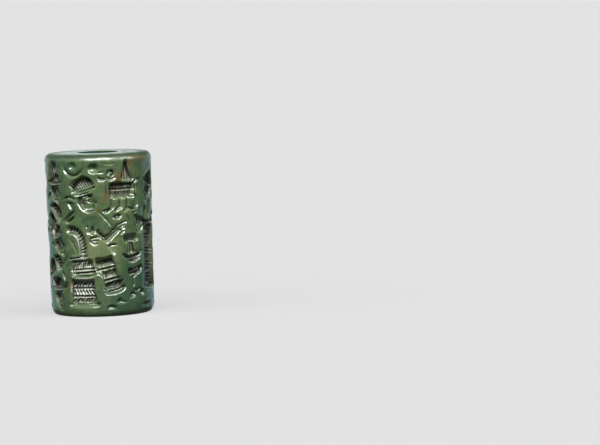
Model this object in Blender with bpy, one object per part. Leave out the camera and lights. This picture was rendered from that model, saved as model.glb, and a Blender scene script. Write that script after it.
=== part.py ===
"""A carved stone cylinder seal, pierced from end to end.

The stone is one solid, turned from a profile. Its scene is laid out on a strip, the stone's wall
unrolled: s runs to the right along the rolled-out print and h runs up, both in millimetres. Each
figure is a few hollows scooped, drilled or grooved into a map of depths over that strip, and the
wall's points then sink by the depth that the map gives them. The finest hatching is left to the
visual model.
"""
import math

import bmesh
import bpy
import numpy as np

MM = 0.001

# The stone, in millimetres.
HEIGHT = 24.5
RADIUS_FOOT = 7.87
RADIUS_TOP = 8.13
RIM_TOP = (0.85, 1.1)       # how far the worn rim runs in over the end, and down the wall
RIM_FOOT = (0.8, 1.5)
RIM_STEPS = 5
BORE_RADIUS = 2.9
BORE_SIDES = 48
MOUTH_FLARE = 0.15
OVERRUN = 1.0               # how far the drill's bit runs past both ends
WALL_ROWS = 116
WALL_COLUMNS = 248
FACES_KEPT = 0.15           # share of the fine wall's triangles that the finished solid keeps
SAME_POINT = 1e-7           # metres

# The strip that the scene is laid out on, in millimetres.
TURN = 50.97                # one turn of the stone
TALL = 24.2
FOOT_GAP = 0.18             # the strip starts this far above the stone's foot
SLIP = 1.007                # the print is this much shorter than the stone
FRONT = 27.24               # the place on the strip that faces -Y
CELL = 0.1
PRESS = 1.3                 # how much deeper than drawn below the whole scene is cut
WEAR_PASSES = 1

COLUMNS = round(TURN / CELL)
ROWS = round(TALL / CELL)
depth_map = np.zeros((ROWS, COLUMNS))


# ---------------------------------------------------------------- the engraver's tools

def curve(points, closed=False):
    """A smooth path through a few points, as many closely spaced points."""
    p = np.asarray(points, float)
    if closed:
        p = np.vstack([p[-1], p, p[:2]])
    elif len(p) == 2:
        return p
    else:
        p = np.vstack([2 * p[0] - p[1], p, 2 * p[-1] - p[-2]])
    t = np.linspace(0, 1, 7)[:-1, None]
    runs = []
    for a, b, c, d in zip(p, p[1:], p[2:], p[3:]):
        runs.append(0.5 * (2 * b + (c - a) * t + (2 * a - 5 * b + 4 * c - d) * t ** 2
                           + (3 * b - a - 3 * c + d) * t ** 3))
    return np.vstack(runs + [p[-2:-1]])


def arc(s, h, radius, start, end):
    """Points on a round arc, from one angle to another in degrees."""
    turns = np.radians(np.linspace(start, end, 3 + int(abs(end - start) / 15)))
    return np.c_[s + radius * np.cos(turns), h + radius * np.sin(turns)]


def patch(path, margin):
    """The part of the map round a path: its index, and its cells' places."""
    low, high = path.min(axis=0) - margin, path.max(axis=0) + margin
    rows = np.arange(max(0, int(low[1] / CELL)), min(ROWS, int(high[1] / CELL) + 1))
    columns = np.arange(math.floor(low[0] / CELL), int(high[0] / CELL) + 1)
    s, h = np.meshgrid((columns + 0.5) * CELL, (rows + 0.5) * CELL)
    return np.ix_(rows, columns % COLUMNS), s, h


def measure(path, s, h):
    """Distance from each cell to the path, and how far along it (0 to 1) it is nearest."""
    steps = np.hypot(*np.diff(path, axis=0).T)
    run = np.r_[0, np.cumsum(steps)] / max(steps.sum(), 1e-6)
    away = np.full(s.shape, np.inf)
    along = np.zeros(s.shape)
    for (a, b), (c, d), start, end in zip(path, path[1:], run, run[1:]):
        u, v = c - a, d - b
        t = np.clip(((s - a) * u + (h - b) * v) / (u * u + v * v + 1e-12), 0, 1)
        here = np.hypot(s - a - t * u, h - b - t * v)
        along = np.where(here < away, start + t * (end - start), along)
        away = np.minimum(here, away)
    return away, along


def press(where, depth):
    depth_map[where] = np.maximum(depth_map[where], depth)


def groove(points, wide, deep, tail=0.45):
    """One pull of the graver along a path: rounded across, and running out at its ends."""
    path = curve(points)
    where, s, h = patch(path, wide)
    away, along = measure(path, s, h)
    fade = 1 - tail * np.abs(2 * along - 1) ** 3
    press(where, deep * fade * np.clip(1 - (away / (0.62 * wide * fade)) ** 2, 0, 1))


def scoop(outline, deep, wall=0.4):
    """A hollow with a rounded floor inside a smooth outline."""
    path = curve(outline, closed=True)
    where, s, h = patch(path, CELL)
    away, _ = measure(path, s, h)
    inside = np.zeros(s.shape, bool)
    for (a, b), (c, d) in zip(path, path[1:]):
        inside ^= ((b > h) != (d > h)) & (s < a + (c - a) * (h - b) / (d - b + 1e-12))
    floor = deep * (1 - (1 - np.clip(away / wall, 0, 1)) ** 2)
    press(where, np.where(inside, floor, 0))


def pit(s, h, radius, deep, squash=1.0):
    """The mark of a round drill."""
    where, x, y = patch(np.array([[s, h]]), radius * max(1, squash) + CELL)
    near = np.clip(1 - ((x - s) ** 2 + ((y - h) / squash) ** 2) / radius ** 2, 0, 1)
    press(where, deep * near ** 0.45)


def figure(s, h, turn=0, flip=False):
    """Places a figure's own points on the strip, turned and perhaps mirrored."""
    cosine, sine = math.cos(math.radians(turn)), math.sin(math.radians(turn))
    way = -1 if flip else 1

    def place(points):
        return [(s + cosine * way * x - sine * y, h + sine * way * x + cosine * y) for x, y in points]
    return place


def soften(depth, passes):
    """Wears the carving's sharp edges, wrapping round the stone."""
    for _ in range(passes):
        depth = 0.5 * depth + 0.25 * (np.roll(depth, 1, axis=1) + np.roll(depth, -1, axis=1))
        above = np.vstack([depth[1:], depth[-1:]])
        below = np.vstack([depth[:1], depth[:-1]])
        depth = 0.5 * depth + 0.25 * (above + below)
    return depth


# ---------------------------------------------------------------- heads and caps

def head(place, wide, tall):
    """A calm made-up profile looking to -x, hung from its brim at y 0."""
    outline = [(-0.40, 0.02), (-0.42, -0.30), (-0.54, -0.54), (-0.44, -0.64), (-0.40, -0.88),
               (-0.16, -1.0), (0.14, -0.92), (0.40, -0.66), (0.48, -0.3), (0.40, 0.02)]
    scoop(place([(x * wide, y * tall) for x, y in outline]), 0.38, 0.5)


def brim(place, half):
    """The heavy brim of a cap, and the lighter band below it."""
    groove(place([(-half, 0.08), (0, -0.12), (half, 0.06)]), 0.34, 0.64, 0.3)
    groove(place([(-0.82 * half, -0.5), (0, -0.62), (0.72 * half, -0.5)]), 0.28, 0.36, 0.4)


def domed_cap(place, wide, tall):
    """A round cap over its brim."""
    half = 0.5 * wide
    turns = [math.radians(a) for a in range(0, 181, 20)]
    dome = [(half * math.cos(a), tall * (0.15 + 0.85 * math.sin(a))) for a in turns]
    scoop(place(dome + [(-0.9 * half, -0.05), (0.9 * half, -0.05)]), 0.55)
    brim(place, half)


def horned_cap(place, wide, tall, left, right):
    """A low pointed cap over its brim, between two thin horns."""
    half = 0.5 * wide
    scoop(place([(-half, 0.1), (-0.55 * half, 0.62 * tall), (-0.1 * half, tall),
                 (0.3 * half, 0.85 * tall), (0.75 * half, 0.4 * tall), (half, 0.1), (0, -0.12)]), 0.5, 0.45)
    brim(place, half)
    for horn in (left, right):
        groove(place(horn), 0.24, 0.28, 0.5)


# ---------------------------------------------------------------- the audience scene

def sky_signs():
    """The crescent and its disc, the globe, and a shallow bow."""
    groove(arc(31.3, 22.75, 1.68, 168, 372), 0.44, 0.44, 0.55)
    pit(31.35, 22.55, 0.62, 0.24)
    pit(28.05, 22.15, 0.8, 0.46, 0.9)
    groove([(26.75, 22.95), (26.2, 22.75), (25.3, 22.7), (24.55, 22.95)], 0.24, 0.12, 0.6)


def bull_altar():
    """A cone of rays on a square-bodied bull with short bent legs."""
    scoop([(23.15, 23.1), (22.6, 23.1), (22.1, 21.8), (21.5, 20.15), (23.7, 20.1),
           (23.45, 21.6)], 0.36, 0.3)
    scoop([(21.5, 19.7), (22.6, 19.95), (25.0, 19.95), (25.7, 19.3), (25.7, 18.0), (25.5, 17.55),
           (21.7, 17.6), (21.4, 18.6)], 0.44, 0.42)
    for s in (20.95, 22.65, 23.95, 25.35):
        groove([(s + 0.05, 17.75), (s, 16.9), (s, 16.2)], 0.46, 0.4, 0.2)
    for hoof in ([(20.7, 16.4), (21.2, 16.0), (21.9, 15.65)], [(21.95, 15.7), (22.6, 16.05), (23.2, 15.65)],
                 [(23.75, 16.15), (24.2, 16.1), (24.9, 15.7)], [(25.1, 16.3), (25.8, 15.9), (26.4, 15.5)]):
        groove(hoof, 0.34, 0.4, 0.45)
    # the tail, lifted and hanging, with a rope beside it
    groove([(21.6, 19.6), (21.0, 20.1), (20.35, 20.25), (20.15, 19.4), (20.1, 17.9), (19.95, 16.5)],
           0.34, 0.34, 0.4)
    # throat, eye and muzzle
    pit(25.3, 21.25, 0.85, 0.26)
    groove([(24.6, 20.75), (25.3, 20.45), (26.2, 20.65)], 0.28, 0.32, 0.5)
    groove([(27.4, 21.3), (26.85, 21.45), (26.4, 21.2)], 0.38, 0.34, 0.4)
    groove([(27.35, 20.5), (26.9, 20.25), (26.3, 20.35)], 0.34, 0.4, 0.4)


def seated_god():
    """The god on his stool, facing left, with a cup in his raised hand."""
    scoop([(28.1, 19.5), (28.5, 20.6), (29.5, 21.1), (30.4, 20.9), (31.1, 20.3), (31.6, 19.6),
           (31.6, 18.9), (31.3, 18.6), (29.8, 18.8)], 0.5)
    groove([(27.95, 19.35), (29.0, 19.0), (30.1, 18.7), (31.45, 18.6)], 0.32, 0.63, 0.3)
    groove([(28.4, 18.85), (29.5, 18.4), (31.0, 18.15)], 0.28, 0.42, 0.4)
    head(figure(29.45, 18.15, -9), 2.9, 2.6)
    # ribbons and locks behind the head
    groove([(31.0, 17.45), (32.2, 17.9), (33.2, 17.5)], 0.28, 0.32, 0.5)
    scoop([(31.4, 17.15), (32.7, 17.1), (32.5, 16.7), (31.65, 15.8), (31.45, 16.3)], 0.28, 0.28)
    groove([(31.3, 15.8), (32.2, 15.15), (33.35, 14.2)], 0.34, 0.4, 0.4)
    groove([(31.35, 14.95), (32.0, 14.45), (32.75, 14.05)], 0.34, 0.4, 0.4)
    # chest, the upper arm's line, the forearm's bend and both fists finger by finger
    scoop([(27.0, 14.7), (28.4, 15.1), (29.8, 14.7), (30.2, 13.2), (29.4, 12.3), (27.9, 12.4),
           (26.9, 13.2)], 0.12, 0.7)
    groove([(27.6, 15.95), (26.9, 15.1), (26.1, 14.2), (25.4, 13.35)], 0.22, 0.26, 0.4)
    scoop([(24.5, 13.9), (25.4, 13.1), (26.4, 12.3), (27.2, 12.9), (28.0, 12.9), (27.1, 11.9),
           (26.3, 10.9), (25.3, 11.9), (24.3, 12.8)], 0.26, 0.5)
    groove([(24.45, 12.8), (25.4, 12.0), (26.3, 11.3), (27.0, 12.0), (27.9, 12.8)], 0.42, 0.46, 0.2)
    for drop, reach in ((0.0, 1.3), (0.45, 0.9), (0.85, 0.85), (1.3, 0.5)):
        groove([(23.7 + reach / 2, 13.55 - drop), (23.7 - reach / 2, 14.0 - drop)], 0.26, 0.36, 0.4)
    for h, reach in ((11.8, 1.5), (11.3, 1.1), (10.9, 0.9)):
        groove([(28.05 + reach / 2, h - 0.1), (28.05 - reach / 2, h + 0.08)], 0.28, 0.36, 0.4)
    groove([(28.45, 13.35), (28.5, 12.4)], 0.44, 0.56, 0.3)
    groove([(28.6, 12.75), (29.05, 12.6)], 0.3, 0.4, 0.4)
    pit(27.5, 12.85, 0.2, 0.4)
    # the cup, and a small pot below it
    scoop([(25.3, 14.9), (24.6, 15.2), (23.85, 15.1), (24.1, 14.65), (24.8, 14.45)], 0.45, 0.25)
    groove([(26.1, 10.4), (25.5, 10.55), (24.85, 10.6)], 0.3, 0.42, 0.4)
    scoop([(25.95, 10.4), (25.0, 10.4), (25.0, 9.4), (25.3, 9.1), (25.75, 9.7)], 0.24, 0.25)
    # the robe: its curved border, and the plain panel beside it
    groove([(32.4, 12.95), (31.6, 12.9), (30.9, 12.45), (30.4, 11.7), (30.15, 10.6), (30.05, 9.3)],
           1.15, 0.46, 0.05)
    scoop([(30.9, 11.4), (31.7, 12.1), (32.2, 11.9), (32.1, 9.2), (30.9, 9.2)], 0.16, 0.4)
    # the skirt, one hollow to each side of the knee
    scoop([(32.3, 8.45), (30.2, 8.85), (28.6, 8.7), (28.3, 7.4), (28.1, 6.6), (28.2, 6.15), (29.5, 5.95),
           (31.6, 5.9), (32.2, 6.5)], 0.36, 0.5)
    scoop([(28.3, 8.6), (26.8, 8.8), (25.4, 9.0), (24.8, 7.2), (24.2, 5.6), (23.6, 4.1), (24.3, 3.65),
           (26.9, 3.3), (27.2, 5.6), (28.1, 6.6)], 0.42, 0.5)
    groove([(32.0, 6.1), (30.4, 6.0), (29.3, 6.05), (28.1, 6.3)], 0.28, 0.6, 0.3)
    groove([(26.95, 3.35), (25.6, 3.45), (24.4, 3.7), (23.6, 4.1)], 0.34, 0.64, 0.3)
    groove([(27.05, 6.0), (27.0, 4.8), (26.9, 3.5)], 0.34, 0.62, 0.2)
    # feet
    scoop([(22.9, 1.95), (23.9, 2.1), (24.4, 2.6), (24.9, 2.3), (24.9, 1.85), (24.0, 1.75)], 0.3, 0.3)
    groove([(26.6, 1.15), (25.9, 1.35), (25.0, 1.1)], 0.42, 0.34, 0.5)


def stool():
    """The god's seat, one square hollow, deepest along its foot."""
    scoop([(32.3, 5.4), (31.8, 5.5), (28.6, 5.55), (28.45, 5.3), (28.2, 3.5), (27.9, 1.7), (28.2, 1.45),
           (32.3, 1.45), (32.55, 1.7), (32.5, 3.5)], 0.46, 0.3)
    groove([(32.5, 1.7), (27.85, 1.75)], 0.5, 0.56, 0.15)


def offering_table():
    """A slab on a stem, over two boat-shaped stands and a foot of small balls."""
    scoop([(23.5, 11.9), (22.2, 12.1), (21.3, 12.0), (21.0, 11.1), (22.2, 10.95), (23.1, 10.8),
           (23.5, 11.3)], 0.46, 0.26)
    scoop([(22.75, 10.95), (21.95, 10.9), (21.6, 9.9), (21.2, 9.1), (22.95, 9.1), (22.8, 9.9)], 0.3, 0.3)
    scoop([(19.9, 9.6), (20.6, 9.3), (21.3, 9.1), (22.6, 9.0), (23.9, 9.2), (23.7, 8.8), (22.9, 8.2),
           (22.1, 7.9), (21.1, 8.2)], 0.42, 0.28)
    scoop([(20.3, 7.3), (21.2, 6.95), (22.0, 6.9), (22.9, 6.95), (22.9, 6.1), (21.9, 5.95), (20.9, 6.1),
           (20.1, 6.7)], 0.38, 0.3)
    groove([(20.5, 3.85), (21.0, 3.6), (21.5, 3.55), (22.0, 3.65)], 0.28, 0.28, 0.5)
    groove([(21.9, 2.8), (22.2, 3.05), (22.6, 2.6)], 0.5, 0.42, 0.3)
    pit(20.2, 3.15, 0.5, 0.34)


def standing_god():
    """The god in the long dress, facing right, with both arms spread."""
    horned_cap(figure(17.4, 19.55, 16), 3.6, 1.7, [(-1.07, 1.0), (-0.5, 2.1), (-1.07, 3.1)],
               [(2.1, 0.8), (1.4, 1.7), (0.66, 2.7)])
    head(figure(17.7, 18.95, 10, flip=True), 2.7, 2.2)
    scoop([(15.0, 17.8), (15.5, 18.2), (16.2, 17.8), (16.3, 17.1), (15.8, 16.95), (15.2, 17.3)], 0.44, 0.3)
    scoop([(17.0, 17.0), (18.1, 17.0), (18.1, 14.6), (17.0, 14.6)], 0.16, 0.35)
    # shoulders drawn in one sweep, the left arm, and the right arm bent up
    scoop([(13.3, 14.35), (14.9, 14.45), (16.1, 15.2), (16.8, 14.3), (17.6, 13.85), (18.7, 14.1),
           (19.4, 14.4), (19.5, 13.6), (17.7, 13.2), (16.7, 13.4), (15.7, 13.3), (14.1, 13.4)], 0.44, 0.4)
    scoop([(19.3, 14.3), (20.4, 14.6), (21.6, 15.1), (21.3, 13.9), (21.0, 12.6), (20.4, 12.25),
           (19.8, 12.75), (19.3, 13.5)], 0.34, 0.4)
    groove([(19.4, 13.3), (19.9, 12.6), (20.45, 12.3), (21.0, 12.6), (21.2, 13.6)], 0.32, 0.46, 0.4)
    groove([(14.05, 13.5), (14.0, 12.3), (13.9, 11.0)], 0.7, 0.24, 0.4)
    # the long dress
    scoop([(16.4, 13.1), (19.2, 13.5), (19.1, 9.2), (19.4, 4.15), (17.0, 3.85), (15.3, 3.8), (15.9, 5.6),
           (16.2, 9.0)], 0.5, 0.35)
    groove([(19.1, 15.6), (19.2, 13.5), (19.1, 9.2), (19.35, 4.3)], 0.9, 0.3, 0.1)
    groove([(15.2, 3.95), (17.2, 3.85), (19.5, 4.15)], 0.42, 0.66, 0.2)
    for s, h in ((15.7, 1.2), (18.5, 1.35), (19.6, 1.3)):
        groove([(s - 0.6, h + 0.1), (s + 0.5, h - 0.12)], 0.34, 0.32, 0.5)


def goddess():
    """The goddess who leads the way, facing right, in a robe with one sweeping border."""
    domed_cap(figure(9.55, 19.15, 28), 4.1, 2.0)
    head(figure(9.9, 18.4, 24, flip=True), 2.6, 2.3)
    groove([(7.2, 17.1), (7.7, 16.95), (8.3, 17.2)], 0.46, 0.4, 0.4)
    # nested collars, the bust, and the arms folded to a point
    for fold in range(4):
        groove([(8.9 - 0.34 * fold, 16.4 - 0.38 * fold), (9.3 - 0.12 * fold, 15.85 - 0.45 * fold),
                (9.85 - 0.04 * fold, 15.8 - 0.48 * fold), (10.3, 16.1 - 0.4 * fold)], 0.3, 0.36, 0.3)
    scoop([(7.7, 13.7), (8.9, 13.95), (10.4, 14.2), (11.0, 13.9), (9.9, 12.4), (8.6, 12.9)], 0.28, 0.5)
    groove([(7.6, 13.55), (8.6, 12.9), (9.85, 12.35)], 0.36, 0.44, 0.4)
    groove([(9.85, 12.4), (10.8, 13.3), (11.6, 14.4), (12.4, 15.7)], 0.9, 0.36, 0.3)
    pit(12.4, 15.7, 0.6, 0.36, 0.9)
    # the robe: a broad crescent with one sweeping border
    scoop([(8.2, 12.4), (9.4, 12.1), (9.6, 9.0), (9.2, 6.0), (7.9, 4.3), (6.6, 3.7), (7.8, 6.2),
           (8.3, 9.0)], 0.2, 0.5)
    groove([(9.75, 12.1), (10.2, 10.6), (10.3, 9.0), (10.25, 7.4), (10.0, 5.9), (9.3, 4.5), (8.2, 3.75),
            (6.6, 3.4)], 1.3, 0.5, 0.1)
    # the forearm held out, with its fingers
    scoop([(10.9, 11.4), (12.2, 11.2), (13.9, 10.85), (14.6, 10.3), (15.1, 9.2), (14.3, 9.4), (13.2, 9.9),
           (11.9, 10.4), (11.1, 10.7)], 0.46, 0.35)
    for h in (10.6, 10.1, 9.6):
        groove([(14.4, h - 0.02), (15.5, h + 0.03)], 0.3, 0.38, 0.4)
    groove([(6.8, 1.0), (7.8, 1.3), (9.3, 0.85)], 0.36, 0.34, 0.5)
    groove([(9.4, 1.6), (10.4, 1.85), (11.8, 1.6)], 0.36, 0.36, 0.4)


def branch():
    """A bud and a stem over the goddess."""
    scoop([(7.3, 22.7), (7.8, 23.1), (8.4, 22.8), (8.2, 21.8), (7.7, 21.0)], 0.3, 0.35)
    groove([(8.0, 21.1), (9.2, 21.75), (10.3, 22.3), (11.1, 22.65)], 0.58, 0.44, 0.4)


def kneeling_man():
    """The small man between the goddess and the standing god, one knee drawn up."""
    pit(12.45, 8.35, 0.62, 0.3)
    for fold in range(3):
        groove([(11.4, 7.9 - 0.4 * fold), (12.1, 7.45 - 0.36 * fold),
                (13.2 - 0.1 * fold, 7.3 - 0.3 * fold)], 0.26, 0.3, 0.5)
    groove([(12.9, 7.9), (13.7, 7.6), (14.3, 7.4)], 0.36, 0.34, 0.5)
    scoop([(11.6, 6.6), (12.6, 6.6), (14.2, 6.0), (14.2, 5.6), (12.8, 5.85), (11.5, 6.0)], 0.4, 0.3)
    groove([(14.1, 5.7), (14.5, 6.2), (14.9, 6.8)], 0.34, 0.34, 0.5)
    scoop([(10.9, 4.1), (12.4, 4.5), (14.0, 5.1), (14.1, 4.4), (12.9, 3.2), (11.6, 2.95), (10.9, 3.2)],
          0.36, 0.35)
    groove([(13.2, 1.3), (13.8, 1.05), (14.3, 0.9)], 0.34, 0.3, 0.5)


def spiral_creature():
    """A beast with a great round eye, over a folded wing and a hooked foot."""
    pit(13.9, 21.2, 1.15, 0.42)
    groove([(11.3, 21.4), (12.5, 20.75), (13.5, 20.15), (14.4, 20.0), (15.1, 20.3)], 0.34, 0.42, 0.5)
    for feather in range(5):
        start = (13.1 - 0.28 * feather, 19.2 - 0.33 * feather)
        groove([start, (14.4 - 0.3 * feather, 17.95 - 0.25 * feather)], 0.3, 0.4, 0.3)
    scoop([(14.0, 19.8), (14.9, 19.8), (14.8, 18.6), (14.4, 18.1), (14.0, 18.5)], 0.18, 0.35)
    pit(12.9, 16.95, 0.6, 0.3)
    scoop([(13.6, 16.4), (14.9, 16.3), (14.85, 15.5), (14.3, 14.85), (13.4, 14.8),
           (14.0, 15.4)], 0.34, 0.35)


# ---------------------------------------------------------------- small signs, heads and beasts

def animal_heads():
    """The animals' heads and small signs behind the goddess."""
    # a goat's head with its horns
    pit(2.45, 20.6, 0.95, 0.38, 0.9)
    groove([(1.25, 20.9), (1.6, 20.1), (2.3, 19.8), (3.2, 20.4)], 0.34, 0.38, 0.4)
    groove([(1.6, 21.2), (2.7, 21.85), (4.1, 22.25)], 0.34, 0.36, 0.5)
    pit(3.8, 22.8, 0.3, 0.2)
    # a long-eared head with two strokes at its mouth
    pit(6.1, 20.2, 0.95, 0.4, 1.1)
    scoop([(5.0, 20.7), (5.6, 21.4), (6.2, 22.6), (6.7, 22.3), (6.3, 21.2)], 0.36, 0.3)
    groove([(4.8, 19.9), (5.3, 19.4), (6.2, 19.2), (7.0, 20.0)], 0.32, 0.36, 0.4)
    for stroke in range(2):
        groove([(5.2 + 0.2 * stroke, 19.2 - 0.65 * stroke), (4.5 + 0.15 * stroke, 18.55 - 0.75 * stroke)],
               0.34, 0.36, 0.4)
    # a round-eyed head with one ear, and its two long whiskers
    pit(3.15, 16.55, 1.0, 0.42)
    scoop([(1.9, 18.9), (3.45, 19.15), (3.1, 18.2), (2.3, 17.2), (2.1, 17.9)], 0.38, 0.3)
    groove([(1.55, 16.4), (2.0, 15.7), (2.8, 15.3), (3.9, 15.7)], 0.34, 0.36, 0.4)
    for whisker in range(2):
        groove([(6.95 - 0.8 * whisker, 17.4 - 0.3 * whisker), (6.4 - 0.7 * whisker, 16.3),
                (5.6 - 0.5 * whisker, 15.5 + 0.15 * whisker), (4.6 - 0.1 * whisker, 14.9 + 0.45 * whisker)],
               0.36, 0.36, 0.4)
    # a snake in two bends
    groove([(0.1, 14.35), (0.55, 14.0), (1.0, 13.5), (1.55, 13.5), (1.85, 14.1), (2.15, 14.6)],
           0.42, 0.4, 0.4)
    groove([(2.7, 13.9), (3.05, 13.25), (3.7, 13.05), (4.25, 13.5), (4.75, 14.3), (5.2, 14.3),
            (5.6, 13.85)], 0.42, 0.4, 0.4)
    # a maned head
    groove([(0.85, 12.1), (2.9, 11.9)], 0.4, 0.4, 0.3)
    groove([(0.85, 11.7), (1.1, 10.7), (1.35, 9.8), (1.5, 9.1), (2.1, 8.2), (2.7, 7.5)], 0.7, 0.26, 0.2)
    scoop([(2.3, 11.3), (4.2, 11.3), (4.9, 10.3), (4.2, 8.9), (3.2, 8.3), (2.5, 8.8)], 0.34, 0.4)
    groove([(2.4, 8.7), (3.2, 8.3), (4.1, 9.0)], 0.28, 0.34, 0.4)
    # a bird hung head down
    scoop([(5.0, 12.8), (6.3, 13.0), (7.2, 12.0), (7.2, 9.4), (6.2, 9.3), (5.9, 10.5), (5.1, 11.4)],
          0.4, 0.32)
    groove([(5.4, 8.95), (6.2, 9.05), (7.1, 8.75), (7.9, 8.25)], 0.36, 0.38, 0.5)
    # two heads looking down
    pit(5.85, 6.0, 1.0, 0.38, 1.1)
    groove([(5.0, 7.0), (6.0, 7.3), (7.1, 7.85)], 0.34, 0.34, 0.5)
    groove([(5.2, 5.6), (5.85, 4.95), (6.65, 5.6)], 0.3, 0.36, 0.4)
    scoop([(4.65, 4.6), (5.1, 4.5), (5.0, 3.3), (4.6, 3.4)], 0.3, 0.25)
    pit(5.8, 2.75, 0.5, 0.34, 0.75)
    for ear in range(2):
        groove([(1.95 + 0.35 * ear, 6.0 - 0.15 * ear), (2.35 + 0.35 * ear, 6.5 - 0.1 * ear),
                (2.8 + 0.3 * ear, 6.9 - 0.1 * ear)], 0.34, 0.36, 0.4)
    groove([(3.2, 5.5), (3.45, 6.0), (3.85, 6.5)], 0.36, 0.34, 0.4)
    scoop([(1.5, 4.9), (2.3, 5.4), (3.3, 5.2), (3.6, 4.0), (2.7, 3.1), (1.7, 3.2), (1.3, 4.0)], 0.38, 0.35)
    # a bowl
    groove([(0.75, 2.45), (4.5, 2.38)], 0.4, 0.42, 0.2)
    for rim, foot in ((0.9, 1.35), (4.4, 3.95)):
        groove([(rim, 2.2), (foot, 1.12)], 0.26, 0.26, 0.4)
    scoop([(1.0, 2.3), (4.3, 2.3), (3.9, 1.3), (1.4, 1.3)], 0.14, 0.4)


def column_of_heads():
    """Five capped heads one above another, some laid on their sides."""
    scoop([(34.2, 20.5), (34.6, 22.0), (34.9, 23.1), (36.1, 23.1), (36.5, 21.8), (36.8, 20.5)], 0.28, 0.3)
    horned_cap(figure(35.5, 20.05, -2), 3.5, 1.6, [(-1.6, 0.7), (-0.6, 1.9), (-1.1, 3.0)],
               [(1.6, 0.6), (0.95, 1.7), (1.0, 2.7)])
    head(figure(35.35, 19.4), 2.7, 2.1)
    groove([(36.65, 18.4), (37.2, 17.9), (37.5, 17.4)], 0.4, 0.38, 0.4)
    for s, h, turn, wide in ((35.5, 15.25, 43, 3.3), (35.15, 12.1, -14, 2.5), (35.75, 7.75, 69, 2.4),
                             (35.5, 4.15, -3, 3.2)):
        domed_cap(figure(s, h, turn), wide, 1.65)
        below = figure(s, h, turn)([(0, -0.7)])[0]
        head(figure(*below, turn), 2.35, 2.15)
    groove([(36.05, 10.4), (36.6, 10.85)], 0.34, 0.34, 0.4)
    groove([(32.85, 9.15), (33.6, 8.2), (34.35, 6.7)], 0.3, 0.34, 0.5)
    groove([(33.25, 5.05), (33.55, 4.4), (34.2, 4.1)], 0.36, 0.44, 0.4)


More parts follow.
